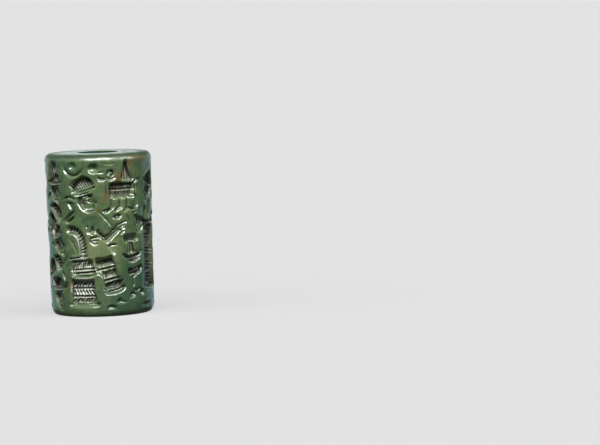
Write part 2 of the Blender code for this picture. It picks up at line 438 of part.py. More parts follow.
def beasts_and_sleepers():
    """Two waves, then beasts and lying men in rows down to the foot."""
    groove([(38.0, 23.05), (38.95, 22.95), (40.1, 22.65), (41.0, 22.8), (41.9, 23.0)], 0.24, 0.2, 0.5)
    groove([(42.8, 23.0), (43.5, 22.5), (44.1, 22.2), (45.0, 22.5), (46.1, 22.85), (47.1, 22.6),
            (47.9, 22.35), (48.85, 22.75)], 0.28, 0.26, 0.4)
    # a lying man, his arm over a resting bull
    domed_cap(figure(40.0, 19.8, 46), 2.6, 1.8)
    head(figure(40.6, 19.5, 60), 2.4, 2.4)
    scoop([(42.6, 21.3), (43.6, 20.4), (45.0, 20.9), (48.3, 21.2), (48.6, 20.0), (47.9, 18.5),
           (45.2, 18.4), (43.8, 19.4), (42.9, 20.2)], 0.46, 0.4)
    for h, drop in ((21.2, 0.1), (18.9, -0.1)):
        groove([(48.0, h), (49.3, h - drop), (50.6, h - 0.25)], 0.36, 0.36, 0.4)
    # a goat on its back
    pit(39.8, 14.5, 0.95, 0.42)
    pit(40.1, 16.75, 0.45, 0.3)
    for horn in range(2):
        groove([(40.7 + 0.4 * horn, 16.1 - 0.25 * horn), (41.9 + 0.3 * horn, 16.6 - 0.3 * horn),
                (43.1, 17.3 - 0.5 * horn)], 0.32, 0.34, 0.6)
    for s, h, radius in ((38.7, 14.1, 0.45), (39.5, 13.1, 0.42), (38.3, 12.75, 0.36), (41.9, 12.95, 0.4)):
        pit(s, h, radius, 0.32)
    scoop([(40.5, 15.2), (42.4, 15.3), (44.5, 16.8), (47.4, 17.4), (46.9, 15.9), (45.2, 14.2),
           (43.2, 13.7), (41.2, 13.8)], 0.42, 0.45)
    groove([(44.4, 16.6), (47.3, 17.1), (50.2, 16.95)], 0.4, 0.4, 0.4)
    groove([(46.3, 15.3), (48.1, 14.8), (49.5, 14.3), (50.6, 13.3)], 0.38, 0.38, 0.4)
    groove([(43.0, 13.1), (44.4, 13.2), (45.7, 13.6)], 0.34, 0.34, 0.4)
    # a man with his arms and legs drawn up
    domed_cap(figure(40.3, 9.85, 68), 3.0, 1.7)
    head(figure(40.95, 9.7, 78), 2.4, 2.3)
    groove([(40.7, 7.75), (41.8, 7.95), (43.0, 7.95)], 0.32, 0.32, 0.4)
    scoop([(42.3, 11.7), (43.4, 11.0), (44.8, 10.4), (44.2, 9.9), (43.2, 10.3), (42.3, 11.0)], 0.42, 0.3)
    groove([(43.0, 8.95), (44.2, 9.8), (44.9, 9.2)], 0.36, 0.38, 0.4)
    scoop([(44.6, 11.3), (47.0, 11.3), (48.2, 11.9), (48.2, 9.7), (47.8, 9.2), (46.0, 9.3),
           (45.0, 10.4)], 0.36, 0.45)
    groove([(48.2, 9.6), (48.45, 11.75), (50.4, 11.85)], 0.42, 0.42, 0.3)
    groove([(48.2, 9.75), (49.6, 9.6)], 0.36, 0.34, 0.4)
    # a winged beast
    pit(39.5, 5.2, 0.75, 0.34)
    groove([(38.2, 4.15), (39.0, 3.85), (40.1, 3.95)], 0.34, 0.34, 0.5)
    for plume in range(3):
        groove([(40.6, 4.75 - 0.45 * plume), (42.0, 4.3 - 0.35 * plume),
                (43.5 - 0.5 * plume, 4.1 - 0.35 * plume)], 0.28, 0.3, 0.4)
    groove([(44.2, 7.5), (44.85, 7.85), (45.55, 7.5)], 0.28, 0.26, 0.5)
    scoop([(45.0, 6.9), (47.0, 6.6), (48.4, 7.5), (50.6, 7.6), (50.6, 6.9), (48.5, 6.8), (47.0, 5.9),
           (45.3, 6.0)], 0.46, 0.35)
    scoop([(43.6, 4.2), (44.4, 5.2), (45.6, 5.7), (48.4, 5.5), (48.4, 4.7), (46.6, 4.7), (45.4, 4.6),
           (44.4, 3.9)], 0.44, 0.35)
    groove([(48.4, 5.1), (49.1, 4.5), (49.9, 3.9)], 0.38, 0.38, 0.4)
    pit(50.2, 6.0, 0.3, 0.22, 0.6)
    # limbs and a small head at the foot
    for drop in (0.0, 0.4):
        groove([(39.1, 1.75 - drop), (40.5, 2.3 - drop), (42.1, 2.7 - drop)], 0.34, 0.36, 0.4)
        groove([(43.5, 2.8 - drop), (44.8, 2.85 - drop), (46.1, 2.85 - drop)], 0.32, 0.36, 0.3)
    scoop([(47.1, 2.2), (47.6, 3.1), (48.6, 3.2), (48.9, 2.3), (48.4, 2.0)], 0.38, 0.32)
    groove([(47.2, 1.6), (48.4, 1.3)], 0.5, 0.24, 0.4)


# ---------------------------------------------------------------- the stone

def wall_radius(z):
    return RADIUS_FOOT + (RADIUS_TOP - RADIUS_FOOT) * z / HEIGHT


def worn_rim(z_end, inward, reach):
    """A rim worn to a quarter of an ellipse, from the end face out to the wall."""
    into, along = reach
    points = []
    for step in range(RIM_STEPS + 1):
        a = 0.5 * math.pi * step / RIM_STEPS
        points.append((wall_radius(z_end) - into * (1 - math.sin(a)),
                       z_end + inward * along * (1 - math.cos(a))))
    return points


def stone_profile():
    """Half of the stone's outline, from the middle of its foot up the wall to the middle of its top."""
    foot = worn_rim(0.0, 1, RIM_FOOT)
    top = worn_rim(HEIGHT, -1, RIM_TOP)
    levels = np.linspace(foot[-1][1], top[-1][1], WALL_ROWS + 1)[1:-1]
    wall = [(wall_radius(z), z) for z in levels]
    return [(0.0, 0.0)] + foot + wall + top[::-1] + [(0.0, HEIGHT)]


def turned(name, profile, columns):
    """A closed solid spun from a profile that starts and ends on the axis."""
    bm = bmesh.new()
    points = [bm.verts.new((r * MM, 0.0, z * MM)) for r, z in profile]
    edges = [bm.edges.new(pair) for pair in zip(points, points[1:])]
    bmesh.ops.spin(bm, geom=points + edges, cent=(0, 0, 0), axis=(0, 0, 1), angle=2 * math.pi,
                   steps=columns, use_merge=True, use_duplicate=False)
    bmesh.ops.remove_doubles(bm, verts=bm.verts, dist=SAME_POINT)
    bmesh.ops.recalc_face_normals(bm, faces=bm.faces)
    mesh = bpy.data.meshes.new(name)
    bm.to_mesh(mesh)
    bm.free()
    thing = bpy.data.objects.new(name, mesh)
    bpy.context.collection.objects.link(thing)
    return thing


def carved_depth(x, y, z, depth):
    """The map's depth at places on the wall, read smoothly between its cells."""
    column = (FRONT - np.arctan2(x, -y) * TURN / (2 * math.pi)) / CELL - 0.5
    row = np.clip((z - FOOT_GAP) / SLIP / CELL - 0.5, 0, ROWS - 1.001)
    c, r = np.floor(column).astype(int), np.floor(row).astype(int)
    to_right, up = column - c, row - r
    left, right = c % COLUMNS, (c + 1) % COLUMNS
    low = depth[r, left] * (1 - to_right) + depth[r, right] * to_right
    high = depth[r + 1, left] * (1 - to_right) + depth[r + 1, right] * to_right
    return low * (1 - up) + high * up


def sink(mesh, depth):
    """Moves the wall's points straight in towards the axis by the carving's depth."""
    places = np.empty(3 * len(mesh.vertices), dtype=np.float32)
    mesh.vertices.foreach_get("co", places)
    x, y, z = places.reshape(-1, 3).T / MM
    radius = np.hypot(x, y)
    on_wall = radius > RADIUS_FOOT - RIM_FOOT[0]
    share = 1 - np.where(on_wall, carved_depth(x, y, z, depth), 0) / np.maximum(radius, BORE_RADIUS)
    mesh.vertices.foreach_set("co", np.c_[x * share, y * share, z].ravel() * MM)


def drill(stone):
    """Pierces the stone from end to end, with a slight flare at both mouths."""
    mouth = BORE_RADIUS + MOUTH_FLARE
    side = [(mouth, 0.0), (BORE_RADIUS, MOUTH_FLARE), (BORE_RADIUS, HEIGHT - MOUTH_FLARE), (mouth, HEIGHT)]
    beyond = mouth + OVERRUN
    profile = [(0.0, -OVERRUN), (beyond, -OVERRUN)] + side + [(beyond, HEIGHT + OVERRUN),
                                                              (0.0, HEIGHT + OVERRUN)]
    bit = turned("bore_bit", profile, BORE_SIDES)
    bit.hide_render = True
    bit.display_type = "WIRE"
    cut = stone.modifiers.new("bore", "BOOLEAN")
    cut.operation = "DIFFERENCE"
    cut.solver = "EXACT"
    cut.object = bit


def green_stone():
    material = bpy.data.materials.new("green_stone")
    material.use_nodes = True
    shader = material.node_tree.nodes["Principled BSDF"]
    shader.inputs["Base Color"].default_value = (0.09, 0.17, 0.07, 1)
    shader.inputs["Roughness"].default_value = 0.3
    shader.inputs["Metallic"].default_value = 0.0
    return material


def build_seal():
    for carve in (sky_signs, bull_altar, seated_god, stool, offering_table, standing_god, goddess, branch,
                  kneeling_man, spiral_creature, animal_heads, column_of_heads, beasts_and_sleepers):
        carve()
    seal = turned("seal", stone_profile(), WALL_COLUMNS)
    sink(seal.data, PRESS * soften(depth_map, WEAR_PASSES))
    seal.data.materials.append(green_stone())
    seal.data.shade_smooth()
    seal.data.set_sharp_from_angle(angle=math.radians(60))
    thin = seal.modifiers.new("fewer_faces", "DECIMATE")
    thin.ratio = FACES_KEPT
    drill(seal)


for thing in list(bpy.data.objects):
    bpy.data.objects.remove(thing)
build_seal()
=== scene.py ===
"""A cylinder seal of polished green stone, carved all round in sunk relief, on a pale studio floor."""
import math

import bmesh
import bpy
import numpy as np
from mathutils import Matrix, Vector


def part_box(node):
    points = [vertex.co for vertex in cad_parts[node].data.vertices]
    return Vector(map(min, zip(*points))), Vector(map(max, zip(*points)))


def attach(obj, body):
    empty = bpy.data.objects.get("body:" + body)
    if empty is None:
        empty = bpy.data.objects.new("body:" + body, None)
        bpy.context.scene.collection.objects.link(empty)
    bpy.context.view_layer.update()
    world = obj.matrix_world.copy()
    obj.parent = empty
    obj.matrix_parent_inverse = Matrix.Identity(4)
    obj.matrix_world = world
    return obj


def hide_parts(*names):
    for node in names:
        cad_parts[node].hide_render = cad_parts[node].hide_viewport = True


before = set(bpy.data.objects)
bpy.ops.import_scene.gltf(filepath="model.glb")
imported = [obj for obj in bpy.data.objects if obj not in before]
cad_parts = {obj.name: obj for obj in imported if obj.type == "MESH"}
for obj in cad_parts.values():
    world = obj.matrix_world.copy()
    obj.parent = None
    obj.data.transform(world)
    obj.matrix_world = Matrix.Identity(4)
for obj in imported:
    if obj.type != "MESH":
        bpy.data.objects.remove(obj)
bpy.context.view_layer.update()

# ---------------------------------------------------------------- camera
# A long lens a little above the seal, aimed well to its right, so that the seal stands in the
# left part of the frame and leans by a degree or two.

MM = 0.001
low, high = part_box("seal")
MIDDLE = (high.z - low.z) / 2
DISTANCE = 480 * MM
LENS = 188.1
LOOKS_DOWN = math.radians(4.7)
LEAN = math.radians(-1.794)
AIM = Vector((30.589 * MM, 0, MIDDLE + 0.336 * MM))
eye = Vector((0, -DISTANCE * math.cos(LOOKS_DOWN), MIDDLE + DISTANCE * math.sin(LOOKS_DOWN)))

camera = bpy.data.objects.new("camera", bpy.data.cameras.new("camera"))
camera.data.lens = LENS
camera.location = eye
camera.rotation_mode = "QUATERNION"
level = (AIM - eye).to_track_quat("-Z", "Y")
camera.rotation_quaternion = level @ Matrix.Rotation(LEAN, 3, "Z").to_quaternion()
bpy.context.collection.objects.link(camera)
bpy.context.scene.camera = camera
bpy.context.scene.view_settings.view_transform = "Standard"


# ---------------------------------------------------------------- the seal
# One cylinder of mottled green stone, turned, polished and pierced from end to end. Its scene is
# cut into the wall with drills, gravers and a fine saw, and rolls out as a raised frieze on clay.

# The scene is laid out on a strip, the wall unrolled: s runs to the right along the rolled-out
# print and h runs up, in millimetres. Two maps of depth cover the strip, one for the hollows and
# one for the fine lines cut into their floors, and the wall's points sink by the sum of both.

HEIGHT = (high.z - low.z) / MM
RADIUS_TOP = (high.x - low.x) / 2 / MM
TAPER = 0.968               # the foot's radius over the top's
TURN = 50.97                # one turn of the stone
TALL = 24.2                 # from the scene's foot to its top
FOOT_GAP = 0.18             # the strip starts this far above the stone's foot
SLIP = 1.007                # how much taller the scene stands on the stone than on the strip
FRONT = 27.24               # the place on the strip that faces -Y
CELL = 0.05                 # the maps' cells are this wide and tall

COLUMNS = round(TURN / CELL)
ROWS = round(TALL / CELL)
hollows = np.zeros((ROWS, COLUMNS))
lines = np.zeros((ROWS, COLUMNS))

# the engraver's tools

CURVE_STEPS = 6             # points on a curve from one given point to the next
FLANK = 0.62                # a cut's half width over its named width
FINE = 1.8                  # how hard the fine graver is pressed
DRILL_ROUND = 0.45          # a drill's mark is a ball's at 0.5, and flatter in its floor below that
BAR_SLIPS = (0.03, 0.08, 0.15, 3.0)     # how far the hand strays: in place, length, depth, degrees
RUNG_SLIPS = (0.04, 0.06, 0.12, 3.0)
hand = np.random.default_rng(11)        # the same slips on every run


def curve(points, closed=False):
    """A smooth path through a few points, as many closely spaced points."""
    p = np.asarray(points, float)
    if closed:
        p = np.vstack([p[-1], p, p[:2]])
    elif len(p) == 2:
        return p
    else:
        p = np.vstack([2 * p[0] - p[1], p, 2 * p[-1] - p[-2]])
    t = np.linspace(0, 1, CURVE_STEPS, endpoint=False)[:, None]
    runs = []
    for a, b, c, d in zip(p, p[1:], p[2:], p[3:]):
        runs.append(0.5 * (2 * b + (c - a) * t + (2 * a - 5 * b + 4 * c - d) * t ** 2
                           + (3 * b - a - 3 * c + d) * t ** 3))
    return np.vstack(runs + [p[-2:-1]])


def arc(s, h, radius, start, end, squash=1.0):
    """Points on a round arc, from one angle to another in degrees."""
    turns = np.radians(np.linspace(start, end, 3 + int(abs(end - start) / 15)))
    return np.c_[s + radius * np.cos(turns), h + radius * squash * np.sin(turns)]


def patch(path, margin):
    """The part of the maps round a path: its index, and its cells' places."""
    lowest, highest = path.min(axis=0) - margin, path.max(axis=0) + margin
    rows = np.arange(max(0, int(lowest[1] / CELL)), min(ROWS, int(highest[1] / CELL) + 1))
    columns = np.arange(math.floor(lowest[0] / CELL), int(highest[0] / CELL) + 1)
    s, h = np.meshgrid((columns + 0.5) * CELL, (rows + 0.5) * CELL)
    return np.ix_(rows, columns % COLUMNS), s, h


def measure(path, s, h):
    """Distance from each cell to the path, and how far along it (0 to 1) it is nearest."""
    steps = np.hypot(*np.diff(path, axis=0).T)
    run = np.r_[0, np.cumsum(steps)] / max(steps.sum(), 1e-6)
    away = np.full(s.shape, np.inf)
    along = np.zeros(s.shape)
    for (a, b), (c, d), start, end in zip(path, path[1:], run, run[1:]):
        u, v = c - a, d - b
        t = np.clip(((s - a) * u + (h - b) * v) / (u * u + v * v + 1e-12), 0, 1)
        here = np.hypot(s - a - t * u, h - b - t * v)
        along = np.where(here < away, start + t * (end - start), along)
        away = np.minimum(here, away)
    return away, along


def pull(layer, points, wide, deep, tail):
    """One pull of the graver along a path: rounded across, and running out at its ends."""
    path = curve(points)
    where, s, h = patch(path, wide)
    away, along = measure(path, s, h)
    fade = 1 - tail * np.abs(2 * along - 1) ** 3
    cut = deep * fade * np.clip(1 - (away / (FLANK * wide * fade)) ** 2, 0, 1)
    layer[where] = np.maximum(layer[where], cut)


def groove(points, wide, deep, tail=0.4):
    """A broad cut, one of the hollows."""
    pull(hollows, points, wide, deep, tail)


def line(points, wide, deep, tail=0.4):
    """A fine cut, over whatever hollow it crosses."""
    pull(lines, points, wide, FINE * deep, tail)


def scoop(outline, deep, wall=0.3):
    """A hollow with a rounded floor inside a smooth outline."""
    path = curve(outline, closed=True)
    where, s, h = patch(path, CELL)
    away, _ = measure(path, s, h)
    inside = np.zeros(s.shape, bool)
    for (a, b), (c, d) in zip(path, path[1:]):
        inside ^= ((b > h) != (d > h)) & (s < a + (c - a) * (h - b) / (d - b + 1e-12))
    floor = deep * (1 - (1 - np.clip(away / wall, 0, 1)) ** 2)
    hollows[where] = np.maximum(hollows[where], np.where(inside, floor, 0))


def pit(s, h, radius, deep, squash=1.0):
    """The mark of a round drill."""
    where, x, y = patch(np.array([[s, h]]), radius * max(1, squash) + CELL)
    near = np.clip(1 - ((x - s) ** 2 + ((y - h) / squash) ** 2) / radius ** 2, 0, 1)
    hollows[where] = np.maximum(hollows[where], deep * near ** DRILL_ROUND)


def ring(s, h, radius, wide, deep, start=0, end=360, squash=1.0):
    """A round line, whole or part, as a tube drill leaves."""
    tail = 0 if end - start >= 360 else 0.4
    line(arc(s, h, radius, start, end, squash), wide, deep, tail)


def bars(start, end, count, reach, wide, deep, lean=0.0):
    """Short cuts side by side from start to end, leaning to the right by some degrees."""
    (a, b), (c, d) = start, end
    for f in np.linspace(0, 1, count):
        slip, longer, harder, turn = hand.normal(0, BAR_SLIPS)
        s, h = a + f * (c - a) + slip, b + f * (d - b) + slip
        half, angle = 0.5 * reach * (1 + longer), math.radians(lean + turn)
        across, up = half * math.sin(angle), half * math.cos(angle)
        line([(s - across, h - up), (s + across, h + up)], wide, deep * (1 + harder), 0.3)


def ladder(path, count, reach, slopes, wide, deep):
    """Rungs along a curved band, turning from the first slope to the last, in degrees."""
    p = curve(path)
    run = np.r_[0, np.cumsum(np.hypot(*np.diff(p, axis=0).T))]
    for f in (np.arange(count) + 0.5) / count:
        slip, longer, harder, turn = hand.normal(0, RUNG_SLIPS)
        s, h = (np.interp(f * run[-1] + slip, run, places) for places in p.T)
        half = 0.5 * reach * (1 + longer)
        angle = math.radians(slopes[0] + f * (slopes[1] - slopes[0]) + turn)
        across, up = half * math.cos(angle), half * math.sin(angle)
        line([(s - across, h - up), (s + across, h + up)], wide, deep * (1 + harder), 0.25)


def figure(s, h, turn=0, flip=False):
    """Places a figure's own points on the strip, turned and perhaps mirrored."""
    cosine, sine = math.cos(math.radians(turn)), math.sin(math.radians(turn))
    way = -1 if flip else 1

    def place(points):
        return [(s + cosine * way * x - sine * y, h + sine * way * x + cosine * y) for x, y in points]
    return place


# heads and caps

def head(place, wide, tall, beard=0, locks=3):
    """A calm made-up profile looking to -x, hung from its brim at y 0, on plain thirds."""
    def at(*points):
        return place([(x * wide, y * tall) for x, y in points])
    scoop(at((-0.4, 0.02), (-0.42, -0.3), (-0.54, -0.54), (-0.44, -0.64), (-0.4, -0.88), (-0.16, -1.0),
             (0.14, -0.92), (0.4, -0.66), (0.48, -0.3), (0.4, 0.02)), 0.34, 0.5)
    line(at((-0.4, -0.2), (-0.24, -0.12), (-0.06, -0.2)), 0.2, 0.14)
    line(at((-0.36, -0.36), (-0.22, -0.28), (-0.08, -0.36), (-0.22, -0.44), (-0.36, -0.36)), 0.17, 0.14)
    line(at((-0.44, -0.3), (-0.54, -0.54), (-0.4, -0.57)), 0.2, 0.12)
    line(at((-0.46, -0.68), (-0.28, -0.67)), 0.18, 0.14)
    line(at((-0.42, -0.78), (-0.28, -0.79)), 0.17, 0.12)
    line(at((-0.4, -0.9), (-0.1, -0.97), (0.2, -0.86)), 0.24, 0.14, 0.6)
    line(at((0.06, -0.32), (0.15, -0.3), (0.17, -0.44), (0.08, -0.54)), 0.18, 0.14)
    for lock in range(locks):
        x = 0.22 + 0.1 * lock
        line(at((x, -0.06), (x + 0.03, -0.35), (x - 0.08, -0.72 + 0.1 * lock)), 0.2, 0.16, 0.3)
    for hair in range(beard):
        x = -0.38 + 0.13 * hair
        line(at((x, -0.9 - 0.04 * hair), (x + 0.02, -1.22 + 0.03 * hair)), 0.24, 0.22)


def brim(place, half):
    """The heavy brim of a cap, and the lighter band below it."""
    groove(place([(-half, 0.08), (0, -0.12), (half, 0.06)]), 0.34, 0.64, 0.3)
    groove(place([(-0.82 * half, -0.5), (0, -0.62), (0.72 * half, -0.5)]), 0.28, 0.36)


def striped_cap(place, wide, tall, stripes, lean):
    """A round cap cut in stripes, over its brim."""
    half = 0.5 * wide
    turns = np.radians(range(0, 181, 20))
    dome = [(half * math.cos(a), tall * (0.15 + 0.85 * math.sin(a))) for a in turns]
    scoop(place(dome + [(-0.9 * half, -0.05), (0.9 * half, -0.05)]), 0.52, 0.4)
    for f in (np.arange(stripes) + 0.5) / stripes:
        x = wide * (f - 0.5)
        top = 0.95 * tall * (0.25 + 0.75 * math.sqrt(max(0, 1 - (x / half) ** 2)))
        reach = np.clip(x + lean * top, -0.92 * half, 0.92 * half)
        line(place([(x - 0.1 * lean, 0.1), (reach, top)]), 0.6 * wide / stripes, 0.26, 0.3)
    brim(place, half)


def horned_cap(place, wide, tall, left, right):
    """A low pointed cap over its brim, between two thin horns."""
    half = 0.5 * wide
    scoop(place([(-half, 0.1), (-0.55 * half, 0.62 * tall), (-0.1 * half, tall),
                 (0.3 * half, 0.85 * tall), (0.75 * half, 0.4 * tall), (half, 0.1), (0, -0.12)]),
          0.48, 0.45)
    for fold in range(7):
        x = half * (0.27 * fold - 0.8)
        line(place([(x, 0.1), (0.75 * x, tall * (0.75 - 0.45 * abs(x) / half))]), 0.18, 0.14, 0.3)
    brim(place, half)
    for horn in (left, right):
        groove(place(horn), 0.24, 0.28, 0.5)


# the audience scene, from the sky down

def sky_signs():
    """The crescent and its disc, the globe, and a shallow bow."""
    groove(arc(31.3, 22.75, 1.68, 168, 372), 0.4, 0.3, 0.45)
    pit(31.35, 22.5, 0.58, 0.26)
    pit(28.05, 22.15, 0.8, 0.46, 0.9)
    groove([(26.75, 22.95), (26.2, 22.75), (25.3, 22.7), (24.55, 22.95)], 0.22, 0.09, 0.6)


def bull_altar():
    """A cone of rays on a square-bodied bull with short bent legs."""
    scoop([(23.15, 23.1), (22.6, 23.1), (22.1, 21.8), (21.5, 20.15), (23.7, 20.1), (23.45, 21.6)], 0.36)
    for top, foot in ((22.98, 23.5), (22.85, 22.85), (22.7, 22.2), (22.6, 21.75)):
        line([(top, 22.7), (0.5 * (top + foot), 21.4), (foot, 20.25)], 0.24, 0.24, 0.3)
    scoop([(21.5, 19.7), (22.6, 19.95), (25.0, 19.95), (25.7, 19.3), (25.7, 18.0), (25.5, 17.55),
           (21.7, 17.6), (21.4, 18.6)], 0.44, 0.42)
    line([(25.7, 18.9), (23.6, 18.9), (21.5, 18.9)], 0.26, 0.24, 0.2)
    bars((21.8, 19.45), (25.5, 19.45), 9, 0.7, 0.24, 0.2, 12)
    bars((21.9, 18.2), (25.5, 18.2), 14, 0.85, 0.17, 0.2)
    for s in (20.95, 22.65, 23.95, 25.35):
        groove([(s + 0.05, 17.75), (s, 16.9), (s, 16.2)], 0.46, 0.4, 0.2)
    for hoof in ([(20.7, 16.4), (21.2, 16.0), (21.9, 15.65)], [(21.95, 15.7), (22.6, 16.05), (23.2, 15.65)],
                 [(23.75, 16.15), (24.2, 16.1), (24.9, 15.7)], [(25.1, 16.3), (25.8, 15.9), (26.4, 15.5)]):
        groove(hoof, 0.34, 0.4, 0.45)
    line([(21.1, 15.4), (21.75, 15.25)], 0.26, 0.2)
    # the tail, lifted and hanging, with a rope beside it
    groove([(21.6, 19.6), (21.0, 20.1), (20.35, 20.25), (20.15, 19.4), (20.1, 17.9),
            (19.95, 16.5)], 0.28, 0.26, 0.5)
    line([(21.25, 19.3), (21.2, 18.2), (21.1, 17.0)], 0.22, 0.22)
    line([(20.75, 19.6), (20.7, 18.7), (20.65, 17.8)], 0.18, 0.14)
    # throat, eye and muzzle
    line([(26.1, 19.7), (26.15, 18.8), (26.0, 17.9)], 0.22, 0.12, 0.5)
    pit(25.3, 21.25, 0.8, 0.16)
    ring(25.35, 21.3, 0.38, 0.2, 0.22, -30, 270)
    groove([(24.6, 20.75), (25.3, 20.45), (26.2, 20.65)], 0.26, 0.3, 0.5)
    line([(27.4, 21.4), (27.0, 21.55), (26.6, 21.4)], 0.18, 0.14)
    groove([(27.4, 20.8), (27.0, 20.45), (26.4, 20.45)], 0.32, 0.3)


def seated_god():
    """The god on his stool, facing left, with a cup in his raised hand."""
    scoop([(28.1, 19.5), (28.5, 20.6), (29.5, 21.1), (30.4, 20.9), (31.1, 20.3), (31.6, 19.6),
           (31.6, 18.9), (31.3, 18.6), (29.8, 18.8)], 0.5, 0.4)
    for stripe in range(9):
        s, h = 28.1 + 0.38 * stripe, 19.8 - 0.12 * stripe
        tall = 0.65 + 0.6 * math.sin(math.pi * (stripe + 1.3) / 11)
        line([(s, h), (s + 0.85 * tall, h + tall)], 0.24, 0.3, 0.3)
    groove([(27.95, 19.35), (29.0, 19.0), (30.1, 18.7), (31.45, 18.6)], 0.32, 0.63, 0.3)
    groove([(28.4, 18.85), (29.5, 18.4), (31.0, 18.15)], 0.28, 0.42)
    line([(28.6, 18.3), (29.2, 18.1), (29.9, 17.95)], 0.24, 0.2)
    head(figure(29.45, 18.15, -9), 2.9, 2.6)
    # ribbons and locks behind the head
    groove([(31.0, 17.45), (32.2, 17.9), (33.2, 17.5)], 0.28, 0.32, 0.5)
    scoop([(31.4, 17.15), (32.7, 17.1), (32.5, 16.7), (31.65, 15.8), (31.45, 16.3)], 0.22, 0.36)
    groove([(31.3, 15.8), (32.2, 15.15), (33.35, 14.2)], 0.34, 0.4)
    groove([(31.35, 14.95), (32.0, 14.45), (32.75, 14.05)], 0.34, 0.4)
    for bead in range(4):
        pit(31.75 + 0.3 * bead, 14.72 - 0.2 * bead, 0.17, 0.44)
    # chest, the upper arm's line, the forearm's bend and both fists finger by finger
    scoop([(27.0, 14.7), (28.4, 15.1), (29.8, 14.7), (30.2, 13.2), (29.4, 12.3), (27.9, 12.4),
           (26.9, 13.2)], 0.12, 0.7)
    groove([(27.6, 15.95), (26.9, 15.1), (26.1, 14.2), (25.4, 13.35)], 0.22, 0.26)
    line([(25.6, 16.05), (26.1, 15.9), (26.8, 15.65)], 0.3, 0.16, 0.5)
    scoop([(24.5, 13.9), (25.4, 13.1), (26.4, 12.3), (27.2, 12.9), (28.0, 12.9), (27.1, 11.9),
           (26.3, 10.9), (25.3, 11.9), (24.3, 12.8)], 0.26, 0.5)
    groove([(24.45, 12.8), (25.4, 12.0), (26.3, 11.3), (27.0, 12.0), (27.9, 12.8)], 0.42, 0.46, 0.2)
    for shift in (0.0, 0.45):
        line([(24.9, 13.05 - shift), (25.7, 12.4 - shift), (26.35, 11.75 - 0.9 * shift)], 0.2, 0.16)
        line([(27.7, 12.65 - shift), (27.0, 12.0 - shift), (26.45, 11.65 - 0.9 * shift)], 0.2, 0.16)
    for drop, reach in ((0.0, 1.3), (0.45, 0.9), (0.85, 0.85), (1.3, 0.5)):
        groove([(23.7 + reach / 2, 13.55 - drop), (23.7 - reach / 2, 14.0 - drop)], 0.26, 0.36)
    for h, reach in ((11.8, 1.5), (11.3, 1.1), (10.9, 0.9)):
        groove([(28.05 + reach / 2, h - 0.1), (28.05 - reach / 2, h + 0.08)], 0.28, 0.36)
    ring(28.45, 11.35, 0.42, 0.2, 0.2, -80, 80)
    groove([(28.45, 13.35), (28.5, 12.4)], 0.44, 0.56, 0.3)
    groove([(28.6, 12.75), (29.05, 12.6)], 0.3, 0.4)
    line([(29.2, 13.6), (29.45, 13.3)], 0.2, 0.16)
    pit(27.5, 12.85, 0.2, 0.4)
    # the cup, and a small pot below it
    scoop([(25.3, 14.9), (24.6, 15.2), (23.85, 15.1), (24.1, 14.65), (24.8, 14.45)], 0.45, 0.25)
    line([(23.1, 14.95), (22.6, 14.5), (22.3, 13.6)], 0.24, 0.1, 0.5)
    groove([(26.1, 10.4), (25.5, 10.55), (24.85, 10.6)], 0.3, 0.42)
    scoop([(25.95, 10.4), (25.0, 10.4), (25.0, 9.4), (25.3, 9.1), (25.75, 9.7)], 0.26, 0.18)
    # the robe: its curved border with rungs and drill dots, and the plain panel beside it
    border = [(32.4, 12.95), (31.6, 12.9), (30.9, 12.45), (30.4, 11.7), (30.15, 10.6), (30.05, 9.3)]
    groove(border, 1.15, 0.36, 0.05)
    ladder(border, 10, 0.9, (-72, -20), 0.24, 0.2)
    line([(32.3, 12.5), (31.7, 12.4), (31.2, 12.0), (30.8, 11.3), (30.6, 10.4),
          (30.5, 9.4)], 0.24, 0.16, 0.2)
    for s, h in ((31.5, 13.2), (31.05, 13.0), (30.55, 12.6), (30.2, 12.1), (29.9, 11.5), (29.75, 10.8),
                 (29.65, 10.2)):
        pit(s, h, 0.17, 0.52)
    scoop([(30.9, 11.4), (31.7, 12.1), (32.2, 11.9), (32.1, 9.2), (30.9, 9.2)], 0.16, 0.4)
    line([(32.3, 11.7), (31.9, 11.0), (31.5, 10.2), (31.3, 9.6)], 0.24, 0.12, 0.5)
    # the skirt, two tiers of hatched bands to each side of the knee
    scoop([(32.3, 8.3), (30.2, 8.6), (28.7, 8.55), (28.3, 7.4), (28.1, 6.6), (28.2, 6.15), (29.5, 5.95),
           (31.6, 5.9), (32.2, 6.5)], 0.36, 0.5)
    scoop([(28.3, 8.6), (26.8, 8.8), (25.4, 9.0), (24.8, 7.2), (24.2, 5.6), (23.6, 4.1), (24.3, 3.65),
           (26.6, 3.3), (27.0, 5.6), (28.1, 6.6)], 0.42, 0.5)
    line([(29.5, 9.0), (32.5, 8.6)], 0.3, 0.15, 0.1)
    for left, right, deep in (((29.4, 8.35), (32.0, 8.0), 0.22), ((28.3, 7.15), (32.2, 6.9), 0.24),
                              ((28.3, 6.65), (32.0, 6.4), 0.3), ((25.0, 7.35), (27.9, 6.9), 0.26),
                              ((24.4, 5.7), (26.8, 5.25), 0.28)):
        line([left, right], 0.22, deep, 0.15)
    bars((28.9, 7.75), (31.9, 7.5), 9, 0.95, 0.22, 0.24, -18)
    bars((25.5, 8.15), (27.8, 7.75), 9, 0.95, 0.22, 0.26, 30)
    bars((25.0, 6.5), (27.0, 6.1), 8, 0.95, 0.2, 0.24, 5)
    bars((24.2, 4.8), (26.6, 4.35), 9, 1.2, 0.22, 0.28, -28)
    groove([(32.0, 6.1), (30.4, 6.0), (29.3, 6.05), (28.1, 6.3)], 0.28, 0.6, 0.3)
    groove([(26.6, 3.5), (25.6, 3.6), (24.4, 3.85), (23.7, 4.2)], 0.6, 0.64, 0.3)
    groove([(26.9, 5.9), (26.75, 4.8), (26.55, 3.6)], 0.34, 0.5, 0.2)
